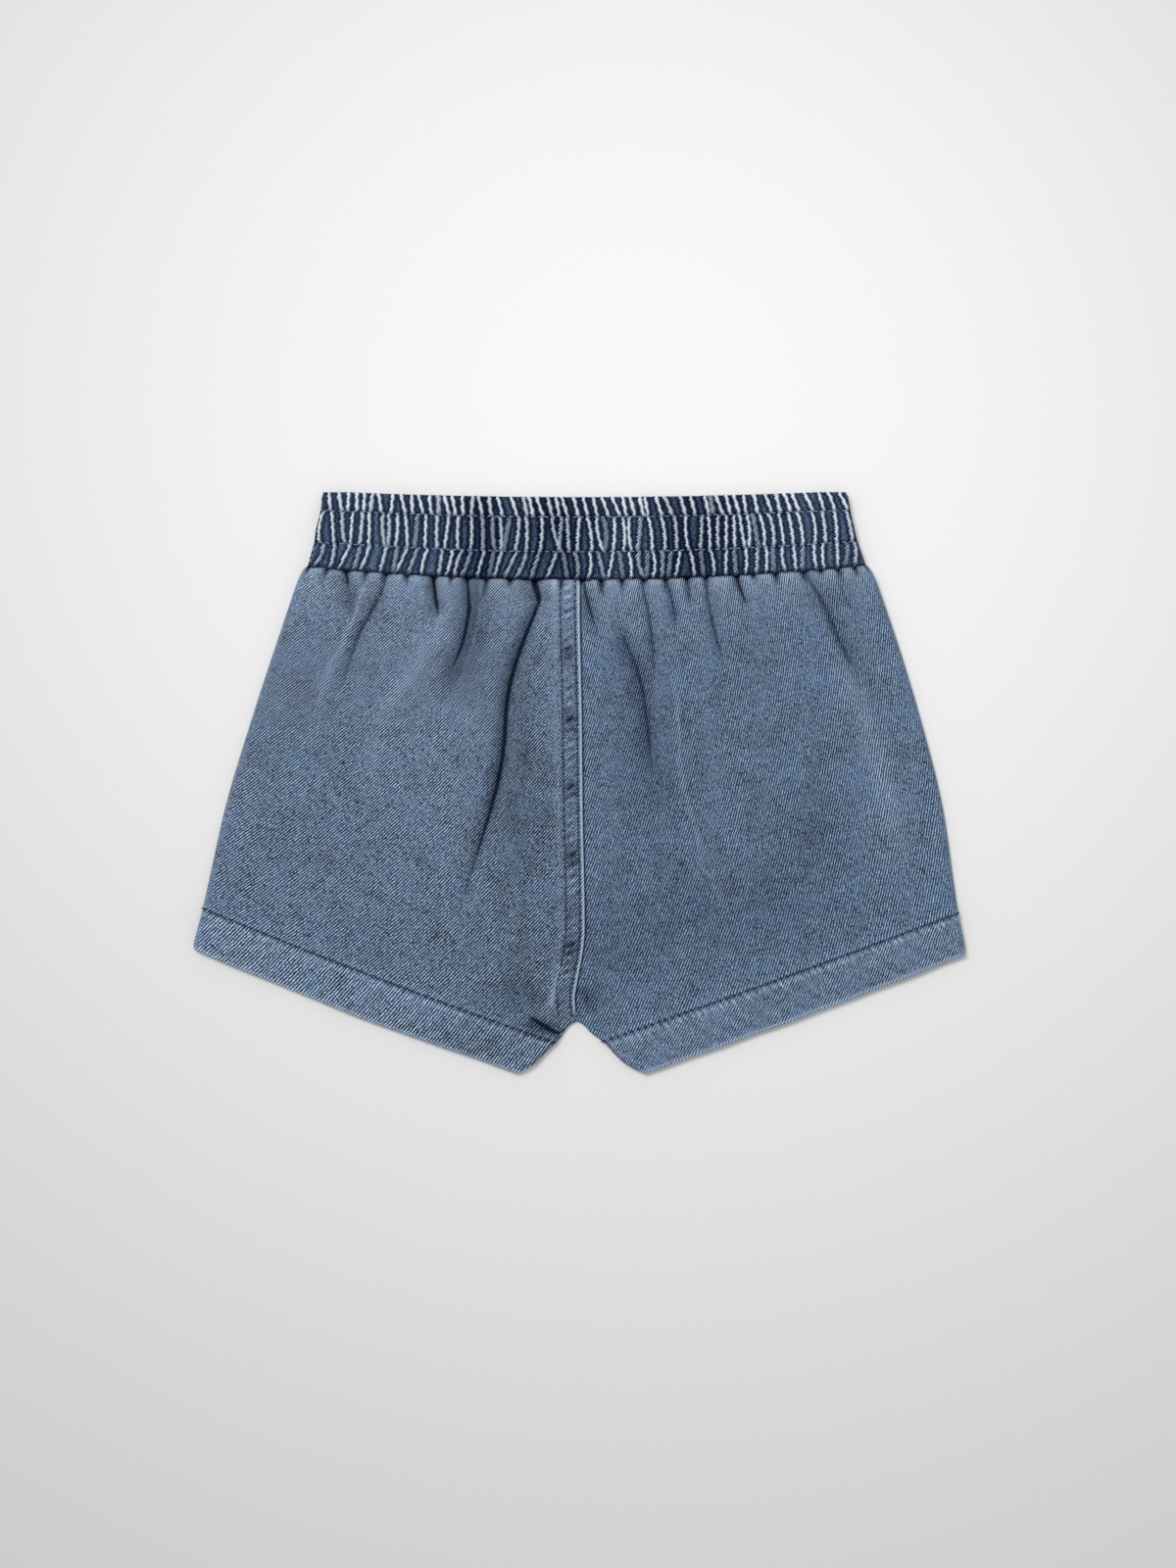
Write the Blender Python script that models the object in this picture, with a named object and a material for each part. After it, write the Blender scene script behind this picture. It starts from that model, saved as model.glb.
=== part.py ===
"""Toddler's pull-on denim shorts, laid flat with the back up.

Every wall is one closed body of cloth.  Lengths in the tables are millimetres: x runs across the garment,
y up towards the waist, z up from the table.
"""

import math

import bmesh
import bpy

MM = 0.001

# The waistband: a ruched casing with two rows of stitching, which part it into three tiers.
BAND_TOP_MIDDLE = 119.85
BAND_TOP_RISE = 2.0
BAND_FOOT_MIDDLE = 84.9
BAND_FOOT_RISE = 4.0
BAND_HALF_SPAN = 98.0
BAND_RUCHES = 52
BAND_FRONT_WALL = 2.8
BAND_VALLEY_WALL = 1.5
BAND_CREST_WALL = 3.0
BAND_LOFT = 0.8
BAND_FRONT_COLUMNS = 24

# How the ruches lean: millimetres sideways at the band's top edge, and at its foot left and right.
TOP_TIER_LEAN = -1.2
FOOT_LEAN_LEFT = -1.2
FOOT_LEAN_RIGHT = 0.5
LEAN_TURN = 30.0

# Uneven spacing and height of the ruches, as shares of the pitch and of the crest.
RUCHE_START = 0.45
RUCHE_WANDER = 0.16
RUCHE_SLOW_WANDER = 0.10
RUCHE_HEIGHT = 0.84
RUCHE_UNEVEN = 0.16
RUCHE_AT_ENDS = 0.35

# Cloth and seams.
SEAM_GAP = 0.3
CROTCH_T = 0.845
HEM_STITCH_T = 0.906
HEM_STITCH_SHARE_AT_SIDE = 0.894
EDGE_LIFT = 0.4
EDGE_THINNING = 0.2
LAP_WIDTH = 8.2
LAP_STRIP = 9.6
LAP_STITCH = 2.1
LAP_STITCH_SINK = 0.28
LAP_RISE = 0.8
LAP_END = (-98.0, -92.0)
CORNER_TRIM = 0.9
CORNER_TRIM_UP = 0.36

# The band's ends: share of the band's height from its top, left x, right x.
BAND_ENDS = (
    (0.00, -107.6, 111.0),
    (0.06, -108.4, 112.0),
    (0.25, -109.0, 113.0),
    (0.50, -111.0, 114.8),
    (0.66, -111.6, 116.0),
    (0.80, -112.8, 117.5),
    (1.00, -114.5, 119.6),
)

# Rows of the band from its top: share of its height, share of the ruche's height.
BAND_ROWS = (
    (0.000, 0.30),
    (0.050, 0.85),
    (0.150, 1.00),
    (0.245, 0.35),
    (0.350, 1.00),
    (0.550, 1.00),
    (0.660, 0.35),
    (0.800, 1.00),
    (0.940, 0.90),
    (1.000, 0.60),
)

# How the band rounds off towards its two ends: share of its width from the end, share of its loft.
BAND_ROUNDING = (
    (0.00, 0.0),
    (0.02, 0.7),
    (0.06, 1.0),
)

# One ruche across: share of its pitch, share of its height.  The crest is pinched, the valley wide.
RUCHE_PROFILE = (
    (0.00, 1.00),
    (0.28, 0.12),
    (0.72, 0.00),
)

# Edge lines of the panels, from the band down: x, y.
CENTRE_SEAM = (
    (-0.2, 84.9),
    (-0.2, 67.2),
    (0.6, 28.3),
    (1.0, -12.7),
    (1.8, -53.7),
    (1.3, -68.5),
    (-2.0, -87.3),
    (-2.3, -91.8),
    (-1.6, -99.8),
)
INSEAM_LEFT = (
    (-1.6, -99.8),
    (-9.2, -107.4),
    (-15.4, -113.6),
    (-21.5, -119.6),
    (-25.5, -121.6),
)
INSEAM_RIGHT = (
    (-1.6, -99.8),
    (3.1, -103.7),
    (9.2, -108.2),
    (15.4, -114.8),
    (21.5, -119.9),
    (25.6, -121.85),
)
SIDE_LEFT = (
    (-114.9, 90.3),
    (-119.5, 81.6),
    (-128.1, 57.0),
    (-138.8, 24.2),
    (-148.6, -8.6),
    (-156.0, -41.4),
    (-159.7, -57.8),
    (-162.2, -68.6),
)
SIDE_RIGHT = (
    (119.9, 90.6),
    (124.8, 81.6),
    (133.5, 57.0),
    (143.3, 24.2),
    (151.5, -8.6),
    (156.4, -41.4),
    (158.9, -57.8),
    (162.2, -71.8),
)
HEM_BOW_LEFT = 1.7
HEM_BOW_RIGHT = 0.8
HEM_BOW_POWER = 3
TOP_EDGE_POWER = 40

# Rows of a panel, as the share of its length from the band to the hem.
HEM_ROWS = (0.800, CROTCH_T, 0.880, 0.893, HEM_STITCH_T, 0.925, 0.965, 0.993, 1.0)
FRONT_ROWS = (0.0, 0.035, 0.115, 0.240, 0.350, 0.470, 0.590, 0.700) + HEM_ROWS
BACK_ROWS = (
    0.0, 0.012, 0.035, 0.062, 0.090, 0.115, 0.150, 0.190, 0.240, 0.295, 0.350, 0.410, 0.470,
    0.530, 0.590, 0.645, 0.700, 0.750,
) + HEM_ROWS

# Columns of a panel: millimetres from its centre edge, measured along its top.
BACK_LEFT_COLUMNS = (
    0.0, LAP_STITCH, 5.0, LAP_WIDTH, LAP_STRIP, 14.0, 16.6, 18.5, 21.0, 25.0, 29.9, 34.5, 37.2, 39.0, 42.8,
    46.7, 50.5, 55.0, 58.6, 61.1, 63.6, 68.0, 72.2, 76.5, 80.8, 85.0, 89.0, 93.5, 97.6, 103.0,
    108.7, 112.7, 114.7,
)
BACK_RIGHT_COLUMNS = (
    0.0, 1.6, 4.5, 8.6, 12.5, 17.2, 21.0, 25.8, 28.5, 32.0, 35.7, 40.0, 44.7, 48.0, 52.1, 55.0,
    59.5, 64.8, 69.0, 75.0, 82.4, 87.5, 90.8, 93.5, 96.5, 101.0, 107.8, 110.5, 114.1, 118.1, 120.1,
)
FRONT_LEFT_COLUMNS = (0.0, LAP_STRIP, 22.0, 35.0, 48.0, 61.0, 74.0, 87.0, 99.0, 108.7, 112.7, 114.7)
FRONT_RIGHT_COLUMNS = (0.0, 9.6, 22.0, 36.0, 50.0, 64.0, 78.0, 92.0, 104.0, 114.1, 118.1, 120.1)
SIDE_STRIP = 6.0

# The columns fan out towards the side fold over the panel's upper part.
FAN = 0.11
FAN_END = 0.45

# Wall of the front panels, which carry the gathered cloth below the band: share of length, thickness.
FRONT_WALL = (
    (0.000, 2.2),
    (0.035, 2.2),
    (0.115, 1.6),
    (0.240, 1.0),
    (0.880, 1.0),
    (0.893, 1.9),
    (1.000, 1.9),
)

# Wall of the back panels: share of length, thickness.  The hem is turned; its stitches sink in.
BACK_WALL = (
    (0.000, 1.2),
    (0.115, 1.0),
    (0.880, 1.0),
    (0.893, 2.0),
    (0.906, 1.6),
    (0.925, 2.0),
    (0.993, 2.0),
    (1.000, 1.5),
)

# How far the back stands off the front: millimetres below the band, height.
LOFT = (
    (0.0, 2.8),
    (6.0, 3.1),
    (16.0, 2.9),
    (32.0, 2.6),
    (60.0, 2.2),
    (100.0, 1.8),
    (150.0, 1.3),
    (190.0, 0.6),
)

# How that height dies out towards an edge fold: millimetres from the edge, share.
EDGE_FADE = (
    (0.0, 0.0),
    (2.0, 0.55),
    (6.0, 0.90),
    (14.0, 1.0),
)
EDGE_ROLL = (
    (0.0, 1.0),
    (2.0, 0.25),
    (6.0, 0.0),
)

# Heights y at which the folds below are placed.
FOLD_LEVELS = (86.0, 66.0, 26.0, -34.0)

# A fold is felt this many half widths away, and eases in and out over part of its length.
FOLD_REACH = 2.5
FOLD_EASE = 9.0
FOLD_END_SHARE = 0.35

# Folds of the back, in order across it: x at the four levels, depth (down) or height (up), half
# width, and where it starts and ends in millimetres below the band.
FOLDS = (
    ("gather 1", -97.8, -98.6, -103.5, -107.6, -1.8, 2.4, -9.0, 9.0),
    ("gather 2", -89.2, -94.9, -101.5, -104.0, -1.6, 2.5, -9.0, 30.0),
    ("gather 3", -81.0, -90.2, -103.5, -112.0, -2.3, 3.0, -9.0, 50.0),
    ("gather 4", -72.4, -74.0, -80.0, -90.0, -1.0, 2.5, -9.0, 7.0),
    ("gather 5", -61.3, -59.7, -62.0, -70.0, -3.0, 2.6, -9.0, 15.0),
    ("gather 6", -46.9, -47.4, -60.5, -72.0, -1.7, 2.7, -9.0, 46.0),
    ("gather 7", -39.2, -42.0, -40.5, -44.0, -2.0, 2.6, -9.0, 36.0),
    ("gather 8", -30.1, -31.0, -34.0, -40.0, -1.2, 2.5, -9.0, 7.0),
    ("long fold", -18.7, -21.5, -31.6, -43.3, -3.2, 3.8, -9.0, 135.0),
    ("gather 10", 1.4, 4.7, 11.3, 15.0, -1.6, 2.4, -9.0, 25.0),
    ("gather 11", 8.4, 11.3, 17.0, 20.0, -1.5, 2.5, -9.0, 8.0),
    ("gather 12", 17.0, 20.3, 24.0, 26.0, -1.2, 2.5, -9.0, 6.0),
    ("gather 13", 25.6, 29.1, 31.0, 33.0, -2.0, 2.7, -9.0, 28.0),
    ("right fold", 14.0, 18.0, 28.1, 25.6, -1.8, 4.0, 34.0, 100.0),
    ("gather 14", 35.5, 40.8, 44.0, 46.0, -1.6, 2.5, -9.0, 10.0),
    ("gather 15", 44.5, 42.4, 44.0, 46.0, -1.0, 2.6, -9.0, 13.0),
    ("gather 16", 51.9, 56.0, 62.5, 66.0, -1.9, 2.7, -9.0, 32.0),
    ("gather 17", 64.6, 72.0, 78.0, 84.0, -1.6, 2.7, -9.0, 13.0),
    ("gather 18", 82.2, 84.7, 88.0, 92.0, -1.0, 2.7, -9.0, 6.0),
    ("gather 19", 93.3, 106.8, 122.8, 134.0, -2.5, 3.2, -9.0, 52.0),
    ("gather 20", 107.6, 117.9, 126.0, 134.0, -1.7, 2.6, -9.0, 25.0),
    ("left swell", -58.8, -58.8, -77.5, -105.0, 0.8, 7.0, 10.0, 112.0),
    ("far left swell", -90.0, -96.0, -113.0, -120.0, 0.8, 5.0, 10.0, 60.0),
    ("right swell", 38.0, 40.0, 40.8, 48.6, 1.0, 6.0, 40.0, 140.0),
    ("far right swell", 92.0, 103.5, 121.0, 138.8, 0.8, 5.0, 12.0, 115.0),
)


def along(table, key, column=1):
    """Value in a table's column where its first column equals key, straight between rows."""
    if key <= table[0][0]:
        return table[0][column]
    for low, high in zip(table, table[1:]):
        if key <= high[0]:
            share = (key - low[0]) / (high[0] - low[0])
            return low[column] + share * (high[column] - low[column])
    return table[-1][column]


def point_on(line, share):
    """Point at a share of a line's length."""
    lengths = [math.dist(a, b) for a, b in zip(line, line[1:])]
    left = share * sum(lengths)
    for (a, b), length in zip(zip(line, line[1:]), lengths):
        if left <= length:
            part = left / length
            return a[0] + part * (b[0] - a[0]), a[1] + part * (b[1] - a[1])
        left -= length
    return line[-1]


def smooth(low, high, value):
    """0 below low, 1 above high and an even curve between them."""
    share = min(1.0, max(0.0, (value - low) / (high - low)))
    return share * share * (3.0 - 2.0 * share)


def band_foot(x):
    return BAND_FOOT_MIDDLE + BAND_FOOT_RISE * (x / BAND_HALF_SPAN) ** 2


def band_top(x):
    return BAND_TOP_MIDDLE + BAND_TOP_RISE * min(1.0, abs(x) / BAND_HALF_SPAN) ** 2


def fold_lift(x, y):
    """Height that all folds add at a point of the back."""
    below = band_foot(x) - y
    lift = 0.0
    for fold in FOLDS:
        height, half_width, start, end = fold[5:9]
        if not start < below < end:
            continue
        levels = tuple(zip([-level for level in FOLD_LEVELS], fold[1:5]))
        offset = (x - along(levels, -y)) / half_width
        if abs(offset) > FOLD_REACH:
            continue
        reach = FOLD_END_SHARE * (end - start)
        ease_in = smooth(start, start + min(reach, FOLD_EASE), below)
        ease_out = 1.0 - smooth(end - reach, end, below)
        lift += height * ease_in * ease_out * math.exp(-offset * offset)
    return lift


class Half:
    """The left or right half of the shorts, front and back, from the centre seam to the side fold."""

    def __init__(self, side, inseam, side_line, hem_bow, gap, strip):
        self.side = side
        self.inseam = inseam
        self.side_line = side_line
        self.hem_bow = hem_bow
        self.gap = gap
        self.strip = strip

    def edges(self, t):
        """The row's two ends: on the centre seam or inseam, and on the side fold."""
        if t <= CROTCH_T:
            inner = point_on(CENTRE_SEAM, t / CROTCH_T)
        else:
            inner = point_on(self.inseam, (t - CROTCH_T) / (1.0 - CROTCH_T))
        stations = ((0.0, 0.0), (HEM_STITCH_T, HEM_STITCH_SHARE_AT_SIDE), (1.0, 1.0))
        outer = point_on(self.side_line, along(stations, t))
        return (inner[0] + self.gap, inner[1]), outer

    def spot(self, column, width_at_top, t):
        """Plan position, with the distances to the centre edge and to the side fold."""
        inner, outer = self.edges(t)
        width = math.dist(inner, outer)
        if column <= self.strip:
            away = column
        elif column >= width_at_top - SIDE_STRIP:
            away = width - (width_at_top - column)
        else:
            share = (column - self.strip) / (width_at_top - SIDE_STRIP - self.strip)
            share += FAN * 4.0 * share * (1.0 - share) * smooth(0.0, FAN_END, t)
            away = self.strip + share * (width - SIDE_STRIP - self.strip)
        share = away / width
        x = inner[0] + share * (outer[0] - inner[0])
        y = inner[1] + share * (outer[1] - inner[1])
        y -= self.hem_bow * math.sin(math.pi * share) * t ** HEM_BOW_POWER
        y += (band_foot(x) - SEAM_GAP - y) * (1.0 - t) ** TOP_EDGE_POWER
        if column == width_at_top and t == 1.0:
            x -= self.side * CORNER_TRIM
            y += CORNER_TRIM_UP
        return x, y, away, width - away

    def front_heights(self, t, from_side):
        low = EDGE_LIFT * along(EDGE_ROLL, from_side)
        return low, low + along(FRONT_WALL, t)

    def back_heights(self, x, y, t, from_centre, from_side):
        _, front_top = self.front_heights(t, from_side)
        fade = along(EDGE_FADE, from_side)
        if t > CROTCH_T:
            fade *= along(EDGE_FADE, from_centre)
        lift = along(LOFT, band_foot(x) - y) + fold_lift(x, y)
        low = front_top + SEAM_GAP + max(0.0, lift) * fade
        top = low + along(BACK_WALL, t) - EDGE_THINNING * along(EDGE_ROLL, from_side)
        if self.strip > 0.0:
            top += self.lap_rise(from_centre) * smooth(*LAP_END, y)
        return low, top

    def lap_rise(self, from_centre):
        """The lapped seam's raised band, which sinks along its outer stitch row."""
        if from_centre > LAP_WIDTH:
            return 0.0
        if from_centre == LAP_STITCH:
            return LAP_RISE - LAP_STITCH_SINK
        return LAP_RISE


LEFT = Half(-1.0, INSEAM_LEFT, SIDE_LEFT, HEM_BOW_LEFT, 0.0, LAP_STRIP)
RIGHT = Half(1.0, INSEAM_RIGHT, SIDE_RIGHT, HEM_BOW_RIGHT, SEAM_GAP, 0.0)


def denim(name, colour, roughness):
    """A plain denim material."""
    material = bpy.data.materials.new(name)
    material.use_nodes = True
    shader = material.node_tree.nodes["Principled BSDF"]
    shader.inputs["Base Color"].default_value = (*colour, 1.0)
    shader.inputs["Roughness"].default_value = roughness
    shader.inputs["Metallic"].default_value = 0.0
    return material


def cloth_wall(name, columns, rows, place, material, collection):
    """A grid of cloth, doubled by an extrusion: place(column, row) gives its upper and lower point."""
    mesh = bpy.data.meshes.new(name)
    bm = bmesh.new()
    across = len(columns) - 1
    down = len(rows) - 1
    bmesh.ops.create_grid(bm, x_segments=across, y_segments=down, size=0.5)
    doubled = bmesh.ops.extrude_face_region(bm, geom=bm.faces[:])
    upper = {item for item in doubled["geom"] if isinstance(item, bmesh.types.BMVert)}
    for vertex in bm.verts:
        column = columns[round((vertex.co.x + 0.5) * across)]
        row = rows[round((vertex.co.y + 0.5) * down)]
        top, low = place(column, row)
        point = top if vertex in upper else low
        vertex.co = [value * MM for value in point]
    bmesh.ops.triangulate(bm, faces=bm.faces[:], quad_method="BEAUTY")
    bmesh.ops.recalc_face_normals(bm, faces=bm.faces[:])
    bm.to_mesh(mesh)
    bm.free()
    mesh.materials.append(material)
    wall = bpy.data.objects.new(name, mesh)
    collection.objects.link(wall)
    return wall


def back_panel(name, half, columns, material, collection):
    def place(column, t):
        x, y, from_centre, from_side = half.spot(column, columns[-1], t)
        low, top = half.back_heights(x, y, t, from_centre, from_side)
        return (x, y, top), (x, y, low)

    return cloth_wall(name, columns, BACK_ROWS, place, material, collection)


def front_panel(name, half, columns, material, collection):
    def place(column, t):
        x, y, _, from_side = half.spot(column, columns[-1], t)
        low, top = half.front_heights(t, from_side)
        return (x, y, top), (x, y, low)

    return cloth_wall(name, columns, FRONT_ROWS, place, material, collection)


def band_spot(across, v):
    """Plan position on the band from its left end (0) to its right end (1), v down from its top."""
    left = along(BAND_ENDS, v, 1)
    right = along(BAND_ENDS, v, 2)
    x = left + across * (right - left)
    y = band_top(x) + v * (band_foot(x) - band_top(x))
    return x, y


def ruche_columns():
    """Columns of the ruched band: place across the band, height of the ruche there."""
    columns = [(0.0, RUCHE_AT_ENDS)]
    for ruche in range(BAND_RUCHES):
        wander = RUCHE_WANDER * math.sin(1.9 * ruche)
        wander += RUCHE_SLOW_WANDER * math.sin(0.7 * ruche + 1.0)
        height = RUCHE_HEIGHT + RUCHE_UNEVEN * math.sin(2.3 * ruche + 0.5)
        for place, share in RUCHE_PROFILE:
            across = (RUCHE_START + ruche + wander + place) / (BAND_RUCHES + 2.0 * RUCHE_START)
            columns.append((across, height * share))
    columns.append((1.0, RUCHE_AT_ENDS))
    return columns


def ruche_lean(x, v):
    """How far a ruche leans sideways on its way up to the top edge and down to the foot."""
    foot = FOOT_LEAN_LEFT if x < 0.0 else FOOT_LEAN_RIGHT
    foot *= smooth(0.0, LEAN_TURN, abs(x))
    first_row = BAND_ROWS[3][0]
    second_row = BAND_ROWS[6][0]
    return TOP_TIER_LEAN * smooth(first_row, 0.0, v) + foot * smooth(second_row, 1.0, v)


def band_back(name, material, collection):
    def place(column, row):
        across, ruche = column
        v, share = row
        x, y = band_spot(across, v)
        rounding = along(BAND_ROUNDING, min(across, 1.0 - across))
        x += ruche_lean(x, v) * rounding
        low = BAND_FRONT_WALL + SEAM_GAP + BAND_LOFT * rounding
        wall = BAND_VALLEY_WALL + (BAND_CREST_WALL - BAND_VALLEY_WALL) * ruche * share
        return (x, y, low + wall), (x, y, low)

    return cloth_wall(name, ruche_columns(), BAND_ROWS, place, material, collection)


def band_front(name, material, collection):
    columns = [step / BAND_FRONT_COLUMNS for step in range(BAND_FRONT_COLUMNS + 1)]
    rows = [row[0] for row in BAND_ENDS]

    def place(column, v):
        x, y = band_spot(column, v)
        return (x, y, BAND_FRONT_WALL), (x, y, 0.0)

    return cloth_wall(name, columns, rows, place, material, collection)


def main():
    for old in list(bpy.data.objects):
        bpy.data.objects.remove(old, do_unlink=True)
    collection = bpy.data.collections.new("denim_shorts")
    bpy.context.scene.collection.children.link(collection)
    panel_denim = denim("Washed denim", (0.105, 0.160, 0.240), 0.85)
    front_denim = denim("Washed denim, front", (0.105, 0.160, 0.240), 0.85)
    band_denim = denim("Ruched waistband denim", (0.070, 0.105, 0.165), 0.85)
    front_panel("front_left", LEFT, FRONT_LEFT_COLUMNS, front_denim, collection)
    front_panel("front_right", RIGHT, FRONT_RIGHT_COLUMNS, front_denim.copy(), collection)
    back_panel("back_left", LEFT, BACK_LEFT_COLUMNS, panel_denim, collection)
    back_panel("back_right", RIGHT, BACK_RIGHT_COLUMNS, panel_denim.copy(), collection)
    band_front("waistband_front", band_denim.copy(), collection)
    band_back("waistband_back", band_denim, collection)


main()
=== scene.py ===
"""Toddler's pull-on denim shorts, laid flat with the back up.

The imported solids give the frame.  This script lays the cloth over them as thin sheets, sews them, gives
them washed denim and sets up the table, the light and the camera.  Lengths of the cloth are millimetres:
x runs across the shorts, y up towards the waist and z up from the table.  A panel's rows are numbered by
their share of its length, from 0 at the band to 1 at the hem's edge.
"""

import math
from typing import NamedTuple

import bpy
import numpy as np
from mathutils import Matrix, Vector
from mathutils.bvhtree import BVHTree


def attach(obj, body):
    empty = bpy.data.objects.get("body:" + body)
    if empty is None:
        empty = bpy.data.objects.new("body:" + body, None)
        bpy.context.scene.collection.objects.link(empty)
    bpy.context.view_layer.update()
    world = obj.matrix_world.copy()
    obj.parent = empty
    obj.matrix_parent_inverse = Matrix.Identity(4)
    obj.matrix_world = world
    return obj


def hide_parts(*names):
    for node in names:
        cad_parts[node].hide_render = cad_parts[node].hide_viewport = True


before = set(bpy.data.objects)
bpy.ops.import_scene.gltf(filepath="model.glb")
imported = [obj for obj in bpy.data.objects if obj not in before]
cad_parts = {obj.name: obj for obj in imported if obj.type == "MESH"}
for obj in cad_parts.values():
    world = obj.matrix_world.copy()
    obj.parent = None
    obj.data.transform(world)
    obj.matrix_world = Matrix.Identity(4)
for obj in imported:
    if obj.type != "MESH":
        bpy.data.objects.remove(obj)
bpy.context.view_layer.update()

MM = 0.001
SEED = 11
STITCH_PITCH = 3.0

# ---- the cut of the shorts ----

# Waistband, at the middle of the back; its edges and stitch rows bow by these rises towards the sides.
BAND_TOP_MIDDLE = 119.85
BAND_TOP_RISE = 2.0
BAND_FOOT_MIDDLE = 84.9
BAND_FOOT_RISE = 4.0
BAND_HALF_SPAN = 98.0
BAND_ROWS = (0.245, 0.66)

# The band's ends: share of the band's height from its top, left x, right x.
BAND_ENDS = (
    (0.00, -107.6, 111.0),
    (0.06, -108.4, 112.0),
    (0.25, -109.0, 113.0),
    (0.50, -111.0, 114.8),
    (0.66, -111.6, 116.0),
    (0.80, -112.8, 117.5),
    (1.00, -114.5, 119.6),
)

# Edge lines of the panels, from the band down: x, y.
CROTCH = (-1.6, -99.8)
CENTRE_SEAM = (
    (-0.2, 84.9), (-0.2, 67.2), (0.6, 28.3), (1.0, -12.7), (1.8, -53.7), (1.3, -68.5), (-2.0, -87.3),
    (-2.3, -91.8), CROTCH,
)
INSEAM_LEFT = (CROTCH, (-4.8, -101.6), (-9.2, -107.4), (-15.4, -113.6), (-20.5, -119.0), (-25.2, -122.3))
INSEAM_RIGHT = (
    CROTCH, (1.4, -101.6), (4.6, -105.0), (9.2, -108.2), (15.4, -114.8), (20.5, -119.4), (25.2, -122.5),
)
SIDE_LEFT = (
    (-114.9, 90.3), (-119.5, 81.6), (-128.1, 57.0), (-138.8, 24.2), (-148.6, -8.6), (-156.0, -41.4),
    (-159.7, -57.8), (-163.3, -69.4),
)
SIDE_RIGHT = (
    (119.9, 90.6), (124.8, 81.6), (133.5, 57.0), (143.3, 24.2), (151.5, -8.6), (156.4, -41.4),
    (158.9, -57.8), (162.2, -71.8),
)
PANEL_LENGTH = 190.0
PANEL_WIDEST = 158.0
CROTCH_ROW = 0.845
HEM_ROW = 0.906
HEM_ROW_AT_SIDE = 0.894
HEM_EDGE_ROW = 0.9945
HEM_CORNER = 2.2
INNER_CORNER = 3.0

# The warp of a panel fans out from a point above the waist and is true to size at a reach from it.  In
# the hem it leans over by so much for each millimetre below the stitches.
WARP_APEX = (101.0, 571.0)
WARP_REACH = 590.0
HEM_SHEAR = 0.16

# Where the front's upper skin lies: row, z.
FRONT_TOP = (
    (0.000, 2.2), (0.035, 2.2), (0.115, 1.6), (0.240, 1.0), (0.880, 1.0), (0.893, 1.9), (1.000, 1.9),
)

# How far the back's skin stands off that: millimetres below the band, height.
BACK_LOFT = (
    (-4.0, 2.0), (-1.6, 2.4), (-0.6, 3.3), (1.2, 4.2), (5.0, 4.7), (16.0, 4.3), (32.0, 3.9), (60.0, 3.5),
    (100.0, 3.1), (150.0, 2.5), (178.0, 1.9),
)

# Height of the fold or seam where a back and a front meet: row, z.
EDGE_LEVEL = ((0.0, 2.9), (0.12, 1.35), (0.88, 1.25), (0.90, 2.1))
SIDE_ROLL = 3.2
INSEAM_ROLL = 2.0
UNDER_BAND = 4.6

HEM_RISE = 1.0
ROPING_PITCH = 7.4
ROPING_SLANT = 6.0 / 19.0

# The centre seam: the left panel's edge is felled over the right one's.  Its relief fades out between the
# two heights of SEAM_END.
LAP_WIDTH = 8.2
LAP_RISE = 1.1
LAP_STITCH = 2.1
UNDER_LAP = 2.0
SEAM_END = (-98.5, -94.0)
PUCKER_PITCH = 4.1
SEAM_PUCKERS = (54.1, 27.1, -1.6, -30.3, -68.9)
CROTCH_TWIST = (-8.5, -94.5)

# Where the gathers meet the band, x.
NOTCHES = (
    -114.0, -106.0, -97.8, -89.6, -81.6, -72.5, -61.1, -54.0, -47.4, -39.2, -29.3, -18.7, -8.0, 0.2, 8.8,
    17.4, 26.7, 35.5, 44.5, 52.3, 65.4, 72.2, 81.4, 92.9, 100.5, 107.6, 114.5, 120.0,
)

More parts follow.
